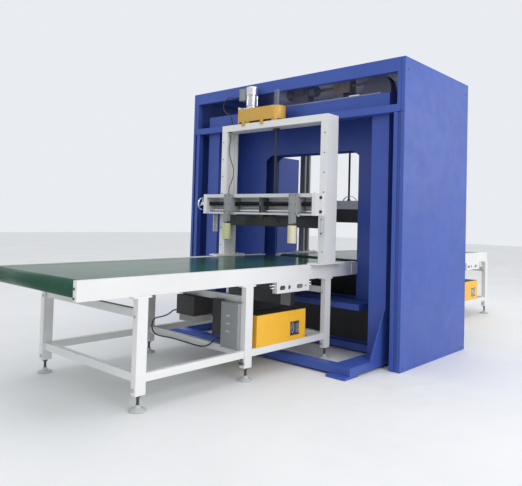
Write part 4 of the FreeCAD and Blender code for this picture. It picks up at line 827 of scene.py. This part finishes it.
def cables():
    """Cables of the lift motor, the gantry post and the belt motor, each between two glands."""
    cable("lift_motor_cable", "motor_cable", 0.012,
          [(-0.75, 0.476, 2.505), (-0.75, 0.556, 2.505), (-0.75, 0.655, 2.528), (-0.75, 0.735, 2.505),
           (-0.75, 0.765, 2.440), (-0.75, 0.735, 2.375), (-0.75, 0.668, 2.345), (-0.75, 0.620, 2.292),
           (-0.75, 0.620, 2.225)])
    cable("gantry_post_cable", "gantry_cable", 0.008,
          [(-0.800, 0.585, 2.120), (-0.800, 0.585, 2.060), (-0.822, 0.582, 1.950), (-0.808, 0.574, 1.858),
           (-0.768, 0.560, 1.770), (-0.785, 0.545, 1.680), (-0.835, 0.522, 1.605), (-0.887, 0.502, 1.560),
           (-0.887, 0.502, 1.503)])
    cable("belt_motor_cable", "belt_drive_cable", 0.012,
          [(-1.8, 0.130, 0.450), (-1.8, 0.200, 0.450), (-1.8, 0.262, 0.400), (-1.8, 0.360, 0.362),
           (-1.8, 0.470, 0.338), (-1.8, 0.512, 0.270), (-1.8, 0.478, 0.200), (-1.8, 0.385, 0.190),
           (-1.8, 0.230, 0.200), (-1.8, 0.060, 0.196), (-1.8, -0.090, 0.189), (-1.8, -0.200, 0.196),
           (-1.8, -0.275, 0.235), (-1.8, -0.325, 0.290), (-1.8, -0.390, 0.290)])


def glands():
    """Black gland nuts where the cables enter."""
    short, long = 0.010, 0.020
    nut, neck, rim = 0.0142, 0.0125, 0.0115
    piece = Piece()
    for place, way, length in (((-0.75, 0.466, 2.505), FAR, short), ((-0.75, 0.62, 2.205), UP, long),
                               ((-0.80, 0.585, 2.140), DOWN, long), ((-0.887, 0.502, 1.483), UP, long),
                               ((-1.80, 0.12, 0.45), FAR, short), ((-1.80, -0.40, 0.29), FAR, short)):
        step = length * 0.6
        piece.turned(place, way, [(0, nut), (step, nut), (step, neck), (length, rim)], 6)
    piece.done("cable_glands", PLASTIC, "black_paint")


for build in (panel_screws, ring_drive, portal_front, portal_seams, feet, leg_bolts, rail_ends, bracket_screws,
              box_fans, belt_motor, terminal_box, under_belt_shade_and_strip, gantry_screws, lift_motor, cover_trim, rod_tube,
              rod_sleeve, press_rods, press_screws, guide_details, guide_rollers, handwheel, cables, glands):
    build()


# Camera, floor and light

def camera():
    """Camera at the place, turn and lens worked out from the photo's straight edges."""
    place = (-4.9279, -3.6038, 1.2512)
    yaw, pitch, roll = map(math.radians, (47.8493, 1.7912, 1.5936))
    forward = Vector((math.sin(yaw) * math.cos(pitch), math.cos(yaw) * math.cos(pitch), math.sin(pitch)))
    level = Vector((math.cos(yaw), -math.sin(yaw), 0))
    raised = level.cross(forward)
    right = math.cos(roll) * level + math.sin(roll) * raised
    up = -math.sin(roll) * level + math.cos(roll) * raised
    data = bpy.data.cameras.new("camera")
    data.lens = 38.82
    data.sensor_width = 36.0
    data.shift_y = -0.0814
    item = bpy.data.objects.new("camera", data)
    turn = Matrix((right, up, -forward)).transposed()
    item.matrix_world = Matrix.Translation(place) @ turn.to_4x4()
    bpy.context.scene.collection.objects.link(item)
    bpy.context.scene.camera = item


def area_light(name, place, aim, size, power):
    """Square lamp turned to what it lights."""
    data = bpy.data.lights.new(name, "AREA")
    data.shape = "SQUARE"
    data.size = size
    data.energy = power
    item = bpy.data.objects.new(name, data)
    item.location = place
    item.rotation_euler = (Vector(aim) - Vector(place)).to_track_quat("-Z", "Y").to_euler()
    bpy.context.scene.collection.objects.link(item)


def studio():
    """Pale floor under soft light."""
    bpy.ops.mesh.primitive_plane_add(size=60, location=(0, 0, 0))
    floor = bpy.context.object
    floor.name = "floor"
    floor.data.materials.append(finish("floor", (0.82, 0.82, 0.81), 0.6, dark=0.97, light=1.02, broad=0.8,
                                       wear=(0.78, 0.78, 0.77), bump=0.02))
    world = bpy.data.worlds.new("world")
    world.use_nodes = True
    background = world.node_tree.nodes["Background"]
    background.inputs["Color"].default_value = (0.93, 0.955, 1.0, 1)
    background.inputs["Strength"].default_value = 0.88
    bpy.context.scene.world = world
    area_light("key", (-3.0, -9.5, 5.5), (0, 0, 1.2), size=5.0, power=345)
    area_light("over", (0.0, -1.0, 8.0), (0, 0, 0), size=7.0, power=120)
    area_light("side", (4.2, -4.8, 2.6), (0.9, 1.1, 1.2), size=2.5, power=34)
    bpy.context.scene.view_settings.view_transform = "Standard"


camera()
studio()
